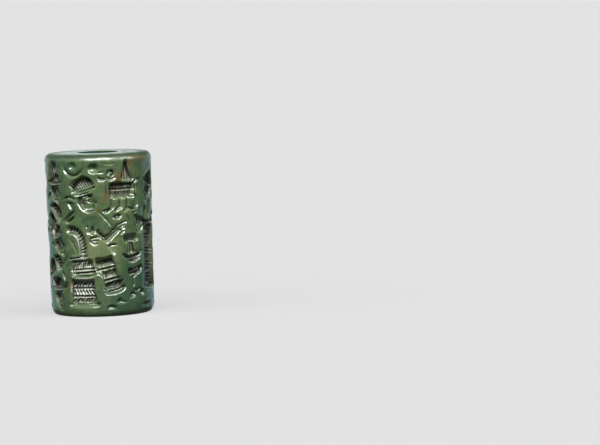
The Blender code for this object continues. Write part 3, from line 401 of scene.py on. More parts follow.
    # feet
    scoop([(22.9, 1.95), (23.9, 2.1), (24.4, 2.6), (24.9, 2.3), (24.9, 1.85), (24.0, 1.75)], 0.3)
    groove([(26.6, 1.15), (25.9, 1.35), (25.0, 1.1)], 0.42, 0.34, 0.5)


def stool():
    """Three rows of slanting cuts in one square hollow, deepest along its foot."""
    scoop([(32.3, 5.4), (31.8, 5.5), (28.6, 5.55), (28.45, 5.3), (28.2, 3.5), (27.9, 1.7), (28.2, 1.45),
           (32.3, 1.45), (32.55, 1.7), (32.5, 3.5)], 0.46)
    for left, right, h in ((28.5, 32.3, 4.2), (28.4, 32.3, 3.0)):
        line([(left, h), (right, h - 0.05)], 0.26, 0.28, 0.1)
    bars((28.9, 4.75), (32.1, 4.7), 7, 0.9, 0.3, 0.26, -38)
    bars((28.8, 3.6), (32.1, 3.55), 7, 0.95, 0.3, 0.28, 32)
    bars((28.6, 2.4), (32.1, 2.35), 10, 0.95, 0.22, 0.2, -42)
    groove([(32.5, 1.7), (27.85, 1.75)], 0.5, 0.56, 0.15)


def offering_table():
    """A slab on a stem, over two boat-shaped stands and a foot of small balls."""
    scoop([(23.5, 11.9), (22.2, 12.1), (21.3, 12.0), (21.0, 11.1), (22.2, 10.95), (23.1, 10.8),
           (23.5, 11.3)], 0.46, 0.26)
    line([(23.3, 11.15), (22.2, 11.2), (21.1, 11.35)], 0.22, 0.2)
    scoop([(22.75, 10.95), (21.95, 10.9), (21.6, 9.9), (21.2, 9.1), (22.95, 9.1), (22.8, 9.9)], 0.3)
    for top, foot in ((22.6, 22.9), (22.3, 22.25), (21.95, 21.5)):
        line([(top, 10.9), (foot, 9.2)], 0.2, 0.22, 0.2)
    scoop([(19.9, 9.6), (20.6, 9.3), (21.3, 9.1), (22.6, 9.0), (23.9, 9.2), (23.7, 8.8), (22.9, 8.2),
           (22.1, 7.9), (21.1, 8.2)], 0.42, 0.28)
    line([(20.2, 9.25), (21.2, 8.8), (22.1, 8.55), (23.3, 8.6)], 0.24, 0.26, 0.5)
    line([(20.6, 8.5), (21.3, 8.2), (22.1, 8.0), (23.0, 8.1)], 0.24, 0.26, 0.5)
    scoop([(20.3, 7.3), (21.2, 6.95), (22.0, 6.9), (22.9, 6.95), (22.9, 6.1), (21.9, 5.95), (20.9, 6.1),
           (20.1, 6.7)], 0.38)
    for drop in (0.0, 0.5):
        line([(20.4, 7.2 - drop), (21.3, 6.8 - drop), (22.8, 6.6 - drop)], 0.24, 0.3)
    line([(20.9, 6.3), (21.5, 5.95), (22.0, 5.6), (22.5, 5.95)], 0.22, 0.16, 0.5)
    line([(22.05, 5.7), (22.0, 5.0), (21.95, 4.3)], 0.26, 0.26, 0.2)
    groove([(20.5, 3.85), (21.0, 3.6), (21.5, 3.55), (22.0, 3.65)], 0.28, 0.28, 0.5)
    groove([(21.9, 2.8), (22.2, 3.05), (22.6, 2.6)], 0.5, 0.42, 0.3)
    pit(20.2, 3.15, 0.5, 0.34)
    line([(20.8, 0.95), (21.3, 0.85)], 0.24, 0.12)


def standing_god():
    """The god in the long dress, facing right, with both arms spread."""
    horned_cap(figure(17.4, 19.55, 16), 3.6, 1.7, [(-1.07, 1.0), (-0.5, 2.1), (-1.07, 3.1)], [(2.1, 0.8),
                                                                                              (1.4, 1.7),
                                                                                              (0.66, 2.7)])
    head(figure(17.7, 18.95, 10, flip=True), 2.7, 2.2)
    scoop([(15.0, 17.8), (15.5, 18.2), (16.2, 17.8), (16.3, 17.1), (15.8, 16.95), (15.2, 17.3)], 0.44)
    line([(15.3, 17.75), (16.1, 17.35)], 0.2, 0.12)
    scoop([(17.0, 17.0), (18.1, 17.0), (18.1, 14.6), (17.0, 14.6)], 0.16, 0.35)
    bars((17.55, 16.6), (17.55, 15.0), 5, 0.8, 0.2, 0.1, 90)
    # shoulders drawn in one sweep, the left arm, and the right arm bent up
    scoop([(13.3, 14.35), (14.9, 14.45), (16.1, 15.2), (16.8, 14.3), (17.6, 13.85), (18.7, 14.1),
           (19.4, 14.4), (19.5, 13.6), (17.7, 13.2), (16.7, 13.4), (15.7, 13.3), (14.1, 13.4)], 0.44, 0.4)
    for drop in (0.0, 0.4):
        line([(16.1, 14.55 - drop), (16.9, 13.85 - drop), (17.7, 13.6 - drop),
              (19.3, 13.95 - drop)], 0.26, 0.26, 0.3)
    bars((15.1, 13.8), (15.9, 14.1), 3, 0.9, 0.2, 0.16, -25)
    scoop([(19.3, 14.3), (20.4, 14.6), (21.6, 15.1), (21.3, 13.9), (21.0, 12.6), (20.4, 12.25),
           (19.8, 12.75), (19.3, 13.5)], 0.34, 0.4)
    groove([(19.4, 13.3), (19.9, 12.6), (20.45, 12.3), (21.0, 12.6), (21.2, 13.6)], 0.32, 0.46)
    line([(20.5, 14.2), (20.55, 13.2)], 0.3, 0.12, 0.5)
    groove([(14.05, 13.5), (14.0, 12.3), (13.9, 11.0)], 0.7, 0.24)
    # the long dress: one deep hollow crossed by bands, its floors hatched
    scoop([(16.4, 13.1), (18.9, 13.5), (18.85, 9.2), (19.1, 4.15), (17.0, 3.85), (15.3, 3.8), (15.9, 5.6),
           (16.2, 9.0)], 0.5, 0.35)
    groove([(18.85, 15.6), (18.9, 13.5), (18.85, 9.2), (19.05, 4.3)], 0.8, 0.3, 0.1)
    groove([(19.35, 15.6), (19.4, 9.2), (19.55, 4.3)], 1.2, 0.1, 0.1)
    for h in (12.75, 11.4, 9.3, 7.25, 5.45):
        for drop in (0.0, 0.45):
            line([(16.2 - 0.06 * (12.75 - h), h - drop), (18.6, h + 0.4 - drop)], 0.22, 0.11, 0.3)
    for h, count, reach, lean in ((12.1, 5, 0.6, 25), (10.2, 6, 1.15, -26), (8.1, 7, 0.75, 0),
                                  (6.2, 7, 0.8, -40), (4.5, 8, 0.7, 18)):
        bars((16.6, h), (18.8, h + 0.3), count + 2, reach, 0.16, 0.12, lean)
    groove([(15.2, 3.95), (17.2, 3.85), (19.5, 4.15)], 0.42, 0.66, 0.2)
    line([(16.5, 2.9), (16.4, 1.6)], 0.24, 0.1, 0.5)
    line([(18.4, 3.4), (19.0, 3.1)], 0.3, 0.14)
    for s, h in ((15.7, 1.2), (18.5, 1.35), (19.6, 1.3)):
        groove([(s - 0.6, h + 0.1), (s + 0.5, h - 0.12)], 0.34, 0.32, 0.5)


def goddess():
    """The goddess who leads the way, facing right, in a robe with one sweeping border."""
    striped_cap(figure(9.55, 19.15, 28), 4.1, 2.0, 8, -0.3)
    head(figure(9.9, 18.4, 24, flip=True), 2.6, 2.3, beard=2)
    groove([(7.2, 17.1), (7.7, 16.95), (8.3, 17.2)], 0.46, 0.4)
    # nested collars, the bust, and the arms folded to a point
    for fold in range(4):
        groove([(8.9 - 0.34 * fold, 16.4 - 0.38 * fold), (9.3 - 0.12 * fold, 15.85 - 0.45 * fold),
                (9.85 - 0.04 * fold, 15.8 - 0.48 * fold), (10.3, 16.1 - 0.4 * fold)], 0.3, 0.36, 0.3)
    scoop([(7.7, 13.7), (8.9, 13.95), (10.4, 14.2), (11.0, 13.9), (9.9, 12.4), (8.6, 12.9)], 0.28, 0.5)
    groove([(7.6, 13.55), (8.6, 12.9), (9.85, 12.35)], 0.36, 0.44)
    groove([(9.85, 12.4), (10.8, 13.3), (11.6, 14.4), (12.4, 15.7)], 0.9, 0.36, 0.3)
    ladder([(10.1, 12.9), (10.8, 13.6), (11.5, 14.6)], 5, 0.7, (-45, -30), 0.22, 0.16)
    pit(12.4, 15.7, 0.6, 0.36, 0.9)
    for s, h in ((9.5, 12.95), (10.75, 14.25), (11.2, 14.2)):
        pit(s, h, 0.2, 0.5)
    # the robe: a broad crescent with a rung-filled border
    scoop([(8.2, 12.4), (9.4, 12.1), (9.6, 9.0), (9.2, 6.0), (7.9, 4.3), (6.6, 3.7), (7.8, 6.2),
           (8.3, 9.0)], 0.2, 0.5)
    border = [(9.75, 12.1), (10.2, 10.6), (10.3, 9.0), (10.25, 7.4), (10.0, 5.9), (9.3, 4.5), (8.2, 3.75),
              (6.6, 3.4)]
    groove(border, 1.3, 0.4, 0.1)
    ladder(border, 23, 1.25, (-26, -58), 0.27, 0.28)
    line([(8.5, 12.2), (8.85, 11.0), (9.3, 9.9)], 0.2, 0.12)
    # the forearm held out, with its fingers
    scoop([(10.9, 11.4), (12.2, 11.2), (13.9, 10.85), (14.6, 10.3), (15.1, 9.2), (14.3, 9.4), (13.2, 9.9),
           (11.9, 10.4), (11.1, 10.7)], 0.46, 0.35)
    for h in (10.6, 10.1, 9.6):
        groove([(14.4, h - 0.02), (15.5, h + 0.03)], 0.3, 0.38)
    bars((12.9, 9.95), (14.0, 9.6), 5, 0.5, 0.18, 0.14, 10)
    groove([(6.8, 1.0), (7.8, 1.3), (9.3, 0.85)], 0.36, 0.34, 0.5)
    groove([(9.4, 1.6), (10.4, 1.85), (11.8, 1.6)], 0.36, 0.36)
    line([(11.0, 2.65), (12.3, 2.15)], 0.26, 0.2)


def branch():
    """A bud and a stem over the goddess."""
    scoop([(7.3, 22.7), (7.8, 23.1), (8.4, 22.8), (8.2, 21.8), (7.7, 21.0)], 0.3, 0.35)
    groove([(8.0, 21.1), (9.2, 21.75), (10.3, 22.3), (11.1, 22.65)], 0.58, 0.44)


def kneeling_man():
    """The small man between the goddess and the standing god, one knee drawn up."""
    pit(12.45, 8.35, 0.62, 0.3)
    ring(12.45, 8.4, 0.55, 0.24, 0.24, 0, 220)
    for fold in range(3):
        groove([(11.4, 7.9 - 0.4 * fold), (12.1, 7.45 - 0.36 * fold),
                (13.2 - 0.1 * fold, 7.3 - 0.3 * fold)], 0.26, 0.3, 0.5)
    groove([(12.9, 7.9), (13.7, 7.6), (14.3, 7.4)], 0.36, 0.34, 0.5)
    scoop([(11.6, 6.6), (12.6, 6.6), (14.2, 6.0), (14.2, 5.6), (12.8, 5.85), (11.5, 6.0)], 0.4)
    groove([(14.1, 5.7), (14.5, 6.2), (14.9, 6.8)], 0.34, 0.34, 0.5)
    bars((12.0, 5.5), (12.1, 4.8), 3, 1.4, 0.24, 0.26, 90)
    scoop([(10.9, 4.1), (12.4, 4.5), (14.0, 5.1), (14.1, 4.4), (12.9, 3.2), (11.6, 2.95),
           (10.9, 3.2)], 0.36, 0.35)
    for drop in (0.0, 0.45, 0.9):
        line([(11.0, 4.35 - drop), (12.3, 4.3 - drop), (13.9, 4.95 - 0.8 * drop)], 0.26, 0.26, 0.5)
    for toe in range(4):
        line([(13.9, 3.9 - 0.55 * toe), (14.3, 3.8 - 0.55 * toe)], 0.24, 0.14)
    groove([(13.2, 1.3), (13.8, 1.05), (14.3, 0.9)], 0.34, 0.3, 0.5)


def spiral_creature():
    """A beast with a great round eye, over a folded wing and a hooked foot."""
    pit(13.9, 21.2, 1.15, 0.42)
    ring(13.9, 21.2, 0.95, 0.24, 0.2)
    ring(13.9, 21.2, 0.5, 0.24, 0.26)
    groove([(11.3, 21.4), (12.5, 20.75), (13.5, 20.15), (14.4, 20.0), (15.1, 20.3)], 0.34, 0.42, 0.5)
    for drop in (0.0, 0.4):
        line([(11.4, 22.8 - drop), (12.5, 22.6 - drop)], 0.26, 0.26, 0.5)
    for feather in range(5):
        start = (13.1 - 0.28 * feather, 19.2 - 0.33 * feather)
        groove([start, (14.4 - 0.3 * feather, 17.95 - 0.25 * feather)], 0.3, 0.4, 0.3)
    scoop([(14.0, 19.8), (14.9, 19.8), (14.8, 18.6), (14.4, 18.1), (14.0, 18.5)], 0.18, 0.35)
    bars((14.2, 19.1), (14.7, 19.1), 3, 1.3, 0.18, 0.14, 6)
    pit(12.9, 16.95, 0.6, 0.3)
    ring(12.9, 16.95, 0.45, 0.24, 0.24)
    scoop([(13.6, 16.4), (14.9, 16.3), (14.85, 15.5), (14.3, 14.85), (13.4, 14.8),
           (14.0, 15.4)], 0.34, 0.35)


# small signs, heads and beasts

def animal_heads():
    """The animals' heads and small signs behind the goddess."""
    # a goat's head with its horns
    pit(2.45, 20.6, 0.95, 0.38, 0.9)
    ring(2.4, 20.7, 0.45, 0.22, 0.22, squash=0.8)
    groove([(1.25, 20.9), (1.6, 20.1), (2.3, 19.8), (3.2, 20.4)], 0.34, 0.38)
    groove([(1.6, 21.2), (2.7, 21.85), (4.1, 22.25)], 0.34, 0.36, 0.5)
    line([(1.3, 21.7), (2.1, 22.1), (2.9, 22.35)], 0.28, 0.28, 0.5)
    pit(3.8, 22.8, 0.3, 0.2)
    line([(0.45, 22.8), (1.1, 22.75), (1.85, 22.3)], 0.26, 0.2, 0.5)
    # a long-eared head with two strokes at its mouth
    pit(6.1, 20.2, 0.95, 0.4, 1.1)
    ring(6.15, 20.3, 0.4, 0.22, 0.24, squash=1.3)
    scoop([(5.0, 20.7), (5.6, 21.4), (6.2, 22.6), (6.7, 22.3), (6.3, 21.2)], 0.36)
    line([(5.3, 20.9), (6.3, 22.3)], 0.2, 0.14)
    groove([(4.8, 19.9), (5.3, 19.4), (6.2, 19.2), (7.0, 20.0)], 0.32, 0.36)
    for stroke in range(2):
        groove([(5.2 + 0.2 * stroke, 19.2 - 0.65 * stroke),
                (4.5 + 0.15 * stroke, 18.55 - 0.75 * stroke)], 0.34, 0.36)
    bars((6.0, 18.55), (6.8, 18.55), 2, 0.9, 0.2, 0.1)
    # a round-eyed head with one ear, and its two long whiskers
    pit(3.15, 16.55, 1.0, 0.42)
    ring(3.15, 16.5, 0.45, 0.24, 0.26)
    scoop([(1.9, 18.9), (3.45, 19.15), (3.1, 18.2), (2.3, 17.2), (2.1, 17.9)], 0.38)
    line([(2.9, 18.9), (2.4, 17.6)], 0.2, 0.14)
    groove([(1.55, 16.4), (2.0, 15.7), (2.8, 15.3), (3.9, 15.7)], 0.34, 0.36)
    line([(1.6, 15.9), (2.2, 15.45)], 0.26, 0.24)
    line([(0.8, 14.95), (1.4, 15.2)], 0.26, 0.22)
    for whisker in range(2):
        groove([(6.95 - 0.8 * whisker, 17.4 - 0.3 * whisker), (6.4 - 0.7 * whisker, 16.3),
                (5.6 - 0.5 * whisker, 15.5 + 0.15 * whisker),
                (4.6 - 0.1 * whisker, 14.9 + 0.45 * whisker)], 0.36, 0.36)
    line([(0.4, 18.2), (0.8, 17.6)], 0.2, 0.14)
    # a snake in two bends
    groove([(0.1, 14.35), (0.55, 14.0), (1.0, 13.5), (1.55, 13.5), (1.85, 14.1), (2.15, 14.6)], 0.42, 0.4)
    groove([(2.7, 13.9), (3.05, 13.25), (3.7, 13.05), (4.25, 13.5), (4.75, 14.3), (5.2, 14.3),
            (5.6, 13.85)], 0.42, 0.4)
    # a maned head
    groove([(0.85, 12.1), (2.9, 11.9)], 0.4, 0.4, 0.3)
    mane = [(0.85, 11.7), (1.1, 10.7), (1.35, 9.8), (1.5, 9.1), (2.1, 8.2), (2.7, 7.5)]
    ladder(mane, 9, 0.75, (-32, -25), 0.28, 0.3)
    line([(1.7, 11.6), (2.1, 10.2), (2.5, 8.8)], 0.24, 0.24)
    scoop([(2.3, 11.3), (4.2, 11.3), (4.9, 10.3), (4.2, 8.9), (3.2, 8.3), (2.5, 8.8)], 0.34, 0.4)
    for fold in range(3):
        line([(3.0, 10.75 - 0.42 * fold), (4.2, 10.7 - 0.42 * fold), (5.0, 10.75 - 0.5 * fold)], 0.24, 0.24)
    ring(3.1, 9.1, 0.42, 0.24, 0.26)
    groove([(2.4, 8.7), (3.2, 8.3), (4.1, 9.0)], 0.28, 0.34)
    for h in (9.4, 9.0):
        line([(4.2, h), (5.15, h)], 0.24, 0.24)
    bars((2.55, 7.7), (2.95, 7.5), 2, 0.6, 0.22, 0.2, -35)
    # a bird hung head down
    scoop([(5.0, 12.8), (6.3, 13.0), (7.2, 12.0), (7.2, 9.4), (6.2, 9.3), (5.9, 10.5),
           (5.1, 11.4)], 0.4, 0.32)
    for f in np.linspace(0, 1, 8):
        s, reach = 6.1 + 0.5 * f, 1.7 * (1 + 0.3 * (2 * f - 1) ** 2)
        line([(s - 0.5 * reach, 12.55 - 2.9 * f), (s + 0.5 * reach, 12.45 - 2.9 * f)], 0.26, 0.26, 0.3)
    groove([(5.4, 8.95), (6.2, 9.05), (7.1, 8.75), (7.9, 8.25)], 0.36, 0.38, 0.5)
    ring(5.9, 8.4, 0.45, 0.24, 0.26)
    line([(6.9, 13.0), (7.6, 13.3)], 0.26, 0.2)
    # two heads looking down
    pit(5.85, 6.0, 1.0, 0.38, 1.1)
    groove([(5.0, 7.0), (6.0, 7.3), (7.1, 7.85)], 0.34, 0.34, 0.5)
    line([(7.3, 7.5), (7.05, 7.0), (6.9, 6.5)], 0.26, 0.26, 0.5)
    ring(5.8, 6.0, 0.42, 0.22, 0.22)
    groove([(5.2, 5.6), (5.85, 4.95), (6.65, 5.6)], 0.3, 0.36)
    line([(4.6, 5.9), (4.75, 5.3), (5.1, 4.7)], 0.26, 0.26, 0.5)
    scoop([(4.65, 4.6), (5.1, 4.5), (5.0, 3.3), (4.6, 3.4)], 0.3, 0.25)
    pit(5.8, 2.75, 0.5, 0.34, 0.75)
    for ear in range(2):
        groove([(1.95 + 0.35 * ear, 6.0 - 0.15 * ear), (2.35 + 0.35 * ear, 6.5 - 0.1 * ear),
                (2.8 + 0.3 * ear, 6.9 - 0.1 * ear)], 0.34, 0.36)
    groove([(3.2, 5.5), (3.45, 6.0), (3.85, 6.5)], 0.36, 0.34)
    scoop([(1.5, 4.9), (2.3, 5.4), (3.3, 5.2), (3.6, 4.0), (2.7, 3.1), (1.7, 3.2), (1.3, 4.0)], 0.38, 0.35)
    ring(2.55, 4.3, 0.5, 0.24, 0.24, squash=0.8)
    line([(2.1, 3.9), (2.7, 3.3), (3.4, 3.9)], 0.24, 0.24)
    # a bowl
    groove([(0.75, 2.45), (4.5, 2.38)], 0.4, 0.42, 0.2)
    for rim, foot in ((0.9, 1.35), (4.4, 3.95)):
        groove([(rim, 2.2), (foot, 1.12)], 0.26, 0.26)
    scoop([(1.0, 2.3), (4.3, 2.3), (3.9, 1.3), (1.4, 1.3)], 0.14, 0.4)


def column_of_heads():
    """Five capped heads one above another, some laid on their sides."""
    scoop([(34.2, 20.5), (34.6, 22.0), (34.9, 23.1), (36.1, 23.1), (36.5, 21.8), (36.8, 20.5)], 0.28)
    for ray in range(4):
        line([(34.7 + 0.55 * ray, 20.6), (34.95 + 0.35 * ray, 22.6)], 0.24, 0.18)
    horned_cap(figure(35.5, 20.05, -2), 3.5, 1.6, [(-1.6, 0.7), (-0.6, 1.9), (-1.1, 3.0)], [(1.6, 0.6),
                                                                                            (0.95, 1.7),
                                                                                            (1.0, 2.7)])
    head(figure(35.35, 19.4), 2.7, 2.1, beard=2)
    groove([(36.65, 18.4), (37.2, 17.9), (37.5, 17.4)], 0.4, 0.38)
    for s, h, turn, wide, stripes, beard in ((35.5, 15.25, 43, 3.3, 6, 3), (35.15, 12.1, -14, 2.5, 5, 2),
                                             (35.75, 7.75, 69, 2.4, 5, 2), (35.5, 4.15, -3, 3.2, 7, 3)):
        place = figure(s, h, turn)
        striped_cap(place, wide, 1.65, stripes, 0.5 if turn == -3 else 0.0)
        chin = figure(*place([(0, -0.7)])[0], turn)
        head(chin, 2.35, 2.15, beard=beard)
    groove([(36.05, 10.4), (36.6, 10.85)], 0.34, 0.34)
    groove([(32.85, 9.15), (33.6, 8.2), (34.35, 6.7)], 0.3, 0.34, 0.5)
    line([(33.5, 5.3), (33.75, 5.9), (34.0, 6.6)], 0.28, 0.24, 0.5)
    groove([(33.25, 5.05), (33.55, 4.4), (34.2, 4.1)], 0.36, 0.44)


def beasts_and_sleepers():
    """Two waves, then beasts and lying men in rows down to the foot."""
    groove([(38.0, 23.05), (38.95, 22.95), (40.1, 22.65), (41.0, 22.8), (41.9, 23.0)], 0.24, 0.2, 0.5)
    groove([(42.8, 23.0), (43.5, 22.5), (44.1, 22.2), (45.0, 22.5), (46.1, 22.85), (47.1, 22.6),
            (47.9, 22.35), (48.85, 22.75)], 0.28, 0.26)
    # a lying man, his arm over a resting bull
    striped_cap(figure(40.0, 19.8, 46), 2.6, 1.8, 5, 0.0)
    head(figure(40.6, 19.5, 60), 2.4, 2.4, beard=4)
    scoop([(42.6, 21.3), (43.6, 20.4), (45.0, 20.9), (48.3, 21.2), (48.6, 20.0), (47.9, 18.5),
           (45.2, 18.4), (43.8, 19.4), (42.9, 20.2)], 0.46, 0.4)
    for h, drop in ((21.2, 0.1), (18.9, -0.1)):
        groove([(48.0, h), (49.3, h - drop), (50.6, h - 0.25)], 0.36, 0.36)
    bars((45.8, 19.8), (47.2, 19.8), 4, 1.5, 0.22, 0.2, 12)
    line([(42.4, 21.1), (43.3, 20.35), (45.4, 19.1)], 0.24, 0.2)
    # a goat on its back
    pit(39.8, 14.5, 0.95, 0.42)
    ring(39.8, 14.5, 0.5, 0.24, 0.26)
    pit(40.1, 16.75, 0.45, 0.3)
    for horn in range(2):
        groove([(40.7 + 0.4 * horn, 16.1 - 0.25 * horn), (41.9 + 0.3 * horn, 16.6 - 0.3 * horn),
                (43.1, 17.3 - 0.5 * horn)], 0.32, 0.34, 0.6)
    for s, h, radius in ((38.7, 14.1, 0.45), (39.5, 13.1, 0.42), (38.3, 12.75, 0.36), (41.9, 12.95, 0.4)):
        pit(s, h, radius, 0.32)
    scoop([(40.5, 15.2), (42.4, 15.3), (44.5, 16.8), (47.4, 17.4), (46.9, 15.9), (45.2, 14.2),
           (43.2, 13.7), (41.2, 13.8)], 0.42, 0.45)
    for rib in range(3):
        line([(43.3 + 0.45 * rib, 15.2 + 0.35 * rib), (44.45 + 0.4 * rib, 14.2 + 0.4 * rib)], 0.28, 0.26)
    groove([(44.4, 16.6), (47.3, 17.1), (50.2, 16.95)], 0.4, 0.4)
    line([(44.3, 15.8), (46.9, 16.35), (49.6, 16.2), (51.2, 15.5)], 0.28, 0.28)
    groove([(46.3, 15.3), (48.1, 14.8), (49.5, 14.3), (50.6, 13.3)], 0.38, 0.38)
    groove([(43.0, 13.1), (44.4, 13.2), (45.7, 13.6)], 0.34, 0.34)
    line([(45.5, 13.5), (45.7, 12.7)], 0.28, 0.26)
    for s in (44.6, 45.1, 45.6):
        pit(s, 17.45, 0.18, 0.14)
    # a man with his arms and legs drawn up
    striped_cap(figure(40.3, 9.85, 68), 3.0, 1.7, 6, 0.0)
    head(figure(40.95, 9.7, 78), 2.4, 2.3)
    groove([(40.7, 7.75), (41.8, 7.95), (43.0, 7.95)], 0.32, 0.32)
    line([(41.1, 8.45), (42.1, 8.6)], 0.26, 0.24)
    scoop([(42.3, 11.7), (43.4, 11.0), (44.8, 10.4), (44.2, 9.9), (43.2, 10.3), (42.3, 11.0)], 0.42)
    groove([(43.0, 8.95), (44.2, 9.8), (44.9, 9.2)], 0.36, 0.38)
    scoop([(44.6, 11.3), (47.0, 11.3), (48.2, 11.9), (48.2, 9.7), (47.8, 9.2), (46.0, 9.3),
           (45.0, 10.4)], 0.36, 0.45)
    line([(44.7, 11.0), (46.1, 9.55), (47.9, 9.4)], 0.3, 0.3, 0.3)
    line([(45.2, 11.0), (46.25, 10.0), (47.5, 9.8)], 0.24, 0.24, 0.3)
    groove([(48.2, 9.6), (48.45, 11.75), (50.4, 11.85)], 0.42, 0.42, 0.3)
    line([(49.0, 11.3), (50.0, 11.2), (50.4, 10.5)], 0.26, 0.24, 0.5)
    groove([(48.2, 9.75), (49.6, 9.6)], 0.36, 0.34)
    pit(49.3, 8.5, 0.2, 0.16)
    # a winged beast
    pit(39.5, 5.2, 0.75, 0.34)
    ring(39.4, 5.25, 0.5, 0.22, 0.24, 20, 200)
    groove([(38.2, 4.15), (39.0, 3.85), (40.1, 3.95)], 0.34, 0.34, 0.5)
    for plume in range(3):
        groove([(40.6, 4.75 - 0.45 * plume), (42.0, 4.3 - 0.35 * plume),
                (43.5 - 0.5 * plume, 4.1 - 0.35 * plume)], 0.28, 0.3)
    for plume in range(6):
        line([(41.2 + 0.5 * plume, 5.3 + 0.1 * plume),
              (41.5 + 0.5 * plume, 6.1 + 0.15 * plume)], 0.24, 0.18)
    groove([(44.2, 7.5), (44.85, 7.85), (45.55, 7.5)], 0.28, 0.26, 0.5)
    scoop([(45.0, 6.9), (47.0, 6.6), (48.4, 7.5), (50.6, 7.6), (50.6, 6.9), (48.5, 6.8), (47.0, 5.9),
           (45.3, 6.0)], 0.46, 0.35)
    line([(45.2, 6.45), (46.4, 6.1), (47.4, 6.35), (48.4, 7.1), (50.4, 7.1)], 0.24, 0.2)
    scoop([(43.6, 4.2), (44.4, 5.2), (45.6, 5.7), (48.4, 5.5), (48.4, 4.7), (46.6, 4.7), (45.4, 4.6),
           (44.4, 3.9)], 0.44, 0.35)
    for rib in range(4):
        line([(44.0 + 0.35 * rib, 4.6 + 0.3 * rib), (44.7 + 0.35 * rib, 4.0 + 0.32 * rib)], 0.24, 0.24, 0.3)
    line([(45.6, 5.45), (47.2, 5.15), (48.3, 5.15)], 0.24, 0.2)
    groove([(48.4, 5.1), (49.1, 4.5), (49.9, 3.9)], 0.38, 0.38)
    line([(49.1, 3.2), (49.8, 2.9)], 0.26, 0.22)
    pit(50.2, 6.0, 0.3, 0.22, 0.6)
    # limbs and a small head at the foot
    for drop in (0.0, 0.4):
        groove([(39.1, 1.75 - drop), (40.5, 2.3 - drop), (42.1, 2.7 - drop)], 0.34, 0.36)
        groove([(43.5, 2.8 - drop), (44.8, 2.85 - drop), (46.1, 2.85 - drop)], 0.32, 0.36, 0.3)
    line([(38.2, 1.35), (38.9, 1.6)], 0.28, 0.24)
    line([(42.6, 2.0), (42.95, 1.4)], 0.32, 0.28)
    line([(46.2, 2.4), (45.7, 1.8), (46.3, 1.6)], 0.3, 0.3)
    scoop([(47.1, 2.2), (47.6, 3.1), (48.6, 3.2), (48.9, 2.3), (48.4, 2.0)], 0.38, 0.32)
    line([(47.1, 1.9), (48.35, 1.65)], 0.28, 0.28)
    line([(47.3, 1.5), (48.1, 1.15), (48.8, 1.2)], 0.28, 0.28)


for carve in (sky_signs, bull_altar, seated_god, stool, offering_table, standing_god, goddess, branch,
              kneeling_man, spiral_creature, animal_heads, column_of_heads, beasts_and_sleepers):
    carve()


# the stone itself, spun from its profile, with the carving sunk into its wall

RADIUS_FOOT = RADIUS_TOP * TAPER
RIM_TOP = (0.85, 1.1)       # how far the worn rim runs in over the end, and down the wall
RIM_FOOT = (0.8, 1.5)
RIM_STEPS = 8               # rings of points round each worn rim
BORE_RADIUS = 2.9
MOUTH_FLARE = 0.15          # how far the bore's edge is rounded, at both ends
BORE_STEPS = 6              # rings down the bore
WALL_ROWS = 190             # rings up the wall, and points round each
WALL_COLUMNS = 416
END_FLAT = 7.2              # radius within which the end faces are flat
# painted shade: the band along the top rim's edge is darkened in colour
RIM_SHADE_RADIUS = 6.9           # the top rim's dark edge starts this far out,
RIM_SHADE_DOWN = 0.7             # and runs this far down
RIM_SHADE_FADE = 0.3
DEEP = 1.3                  # how much deeper than drawn above the hollows are cut
HOLLOW_WEAR = 3             # passes of wear over the hollows' edges
LIP_WEAR = 36               # and over the lips round them, which handling has rounded
LIP_SHARE = 0.22            # how much of the depth the rounded lips take up
LINE_WEAR = 1
HATCH_SPREAD = 8            # passes that spread the fine lines into patches of hatching
EDGE_SPREAD = 40            # passes that level the carving, to tell its ridges from its floors
SAME_POINT = 1e-7           # metres


def soften(depth, passes):
    """Wears the carving's sharp edges, wrapping round the stone."""
    for _ in range(passes):
        depth = 0.5 * depth + 0.25 * (np.roll(depth, 1, axis=1) + np.roll(depth, -1, axis=1))
        above = np.vstack([depth[1:], depth[-1:]])
        below = np.vstack([depth[:1], depth[:-1]])
        depth = 0.5 * depth + 0.25 * (above + below)
    return depth


def wall_radius(z):
    """The stone's radius at a height, as its wall leans out a little towards the top."""
    return RADIUS_FOOT + (RADIUS_TOP - RADIUS_FOOT) * z / HEIGHT


def worn_rim(z_end, inward, reach):
    """A rim worn to a quarter of an ellipse, from the end face out to the wall."""
    into, along = reach
    points = []
    for step in range(RIM_STEPS + 1):
        a = 0.5 * math.pi * step / RIM_STEPS
        points.append((wall_radius(z_end) - into * (1 - math.sin(a)),
                       z_end + inward * along * (1 - math.cos(a))))
    return points


def stone_profile():
    """The turned outline, from the bore's foot out, up the wall and back down into the bore."""
    foot = worn_rim(0.0, 1, RIM_FOOT)
    top = worn_rim(HEIGHT, -1, RIM_TOP)
    wall = [(wall_radius(z), z) for z in np.linspace(foot[-1][1], top[-1][1], WALL_ROWS + 1)[1:-1]]
    mouth = BORE_RADIUS + MOUTH_FLARE
    beside_mouth = mouth + MOUTH_FLARE
    half_way = 0.5 * (mouth + foot[0][0])
    bore = [(BORE_RADIUS, z) for z in np.linspace(HEIGHT - MOUTH_FLARE, MOUTH_FLARE, BORE_STEPS)]
    return ([(mouth, 0.0), (beside_mouth, 0.0), (half_way, 0.0)] + foot + wall + top[::-1]
            + [(half_way, HEIGHT), (beside_mouth, HEIGHT), (mouth, HEIGHT)] + bore)


def read_map(field, places):
    """A map's values at places on the stone, read smoothly between its cells."""
    x, y, z = places.T
    column = (FRONT - np.arctan2(x, -y) * TURN / (2 * math.pi)) / CELL - 0.5
    top_row = ROWS - 1.001      # a hair below the last row, which has none above it
    row = np.clip((z - FOOT_GAP) / SLIP / CELL - 0.5, 0, top_row)
    c, r = np.floor(column).astype(int), np.floor(row).astype(int)
    to_right, up = column - c, row - r
    left, right = c % COLUMNS, (c + 1) % COLUMNS
    lower = field[r, left] * (1 - to_right) + field[r, right] * to_right
    upper = field[r + 1, left] * (1 - to_right) + field[r + 1, right] * to_right
    return lower * (1 - up) + upper * up


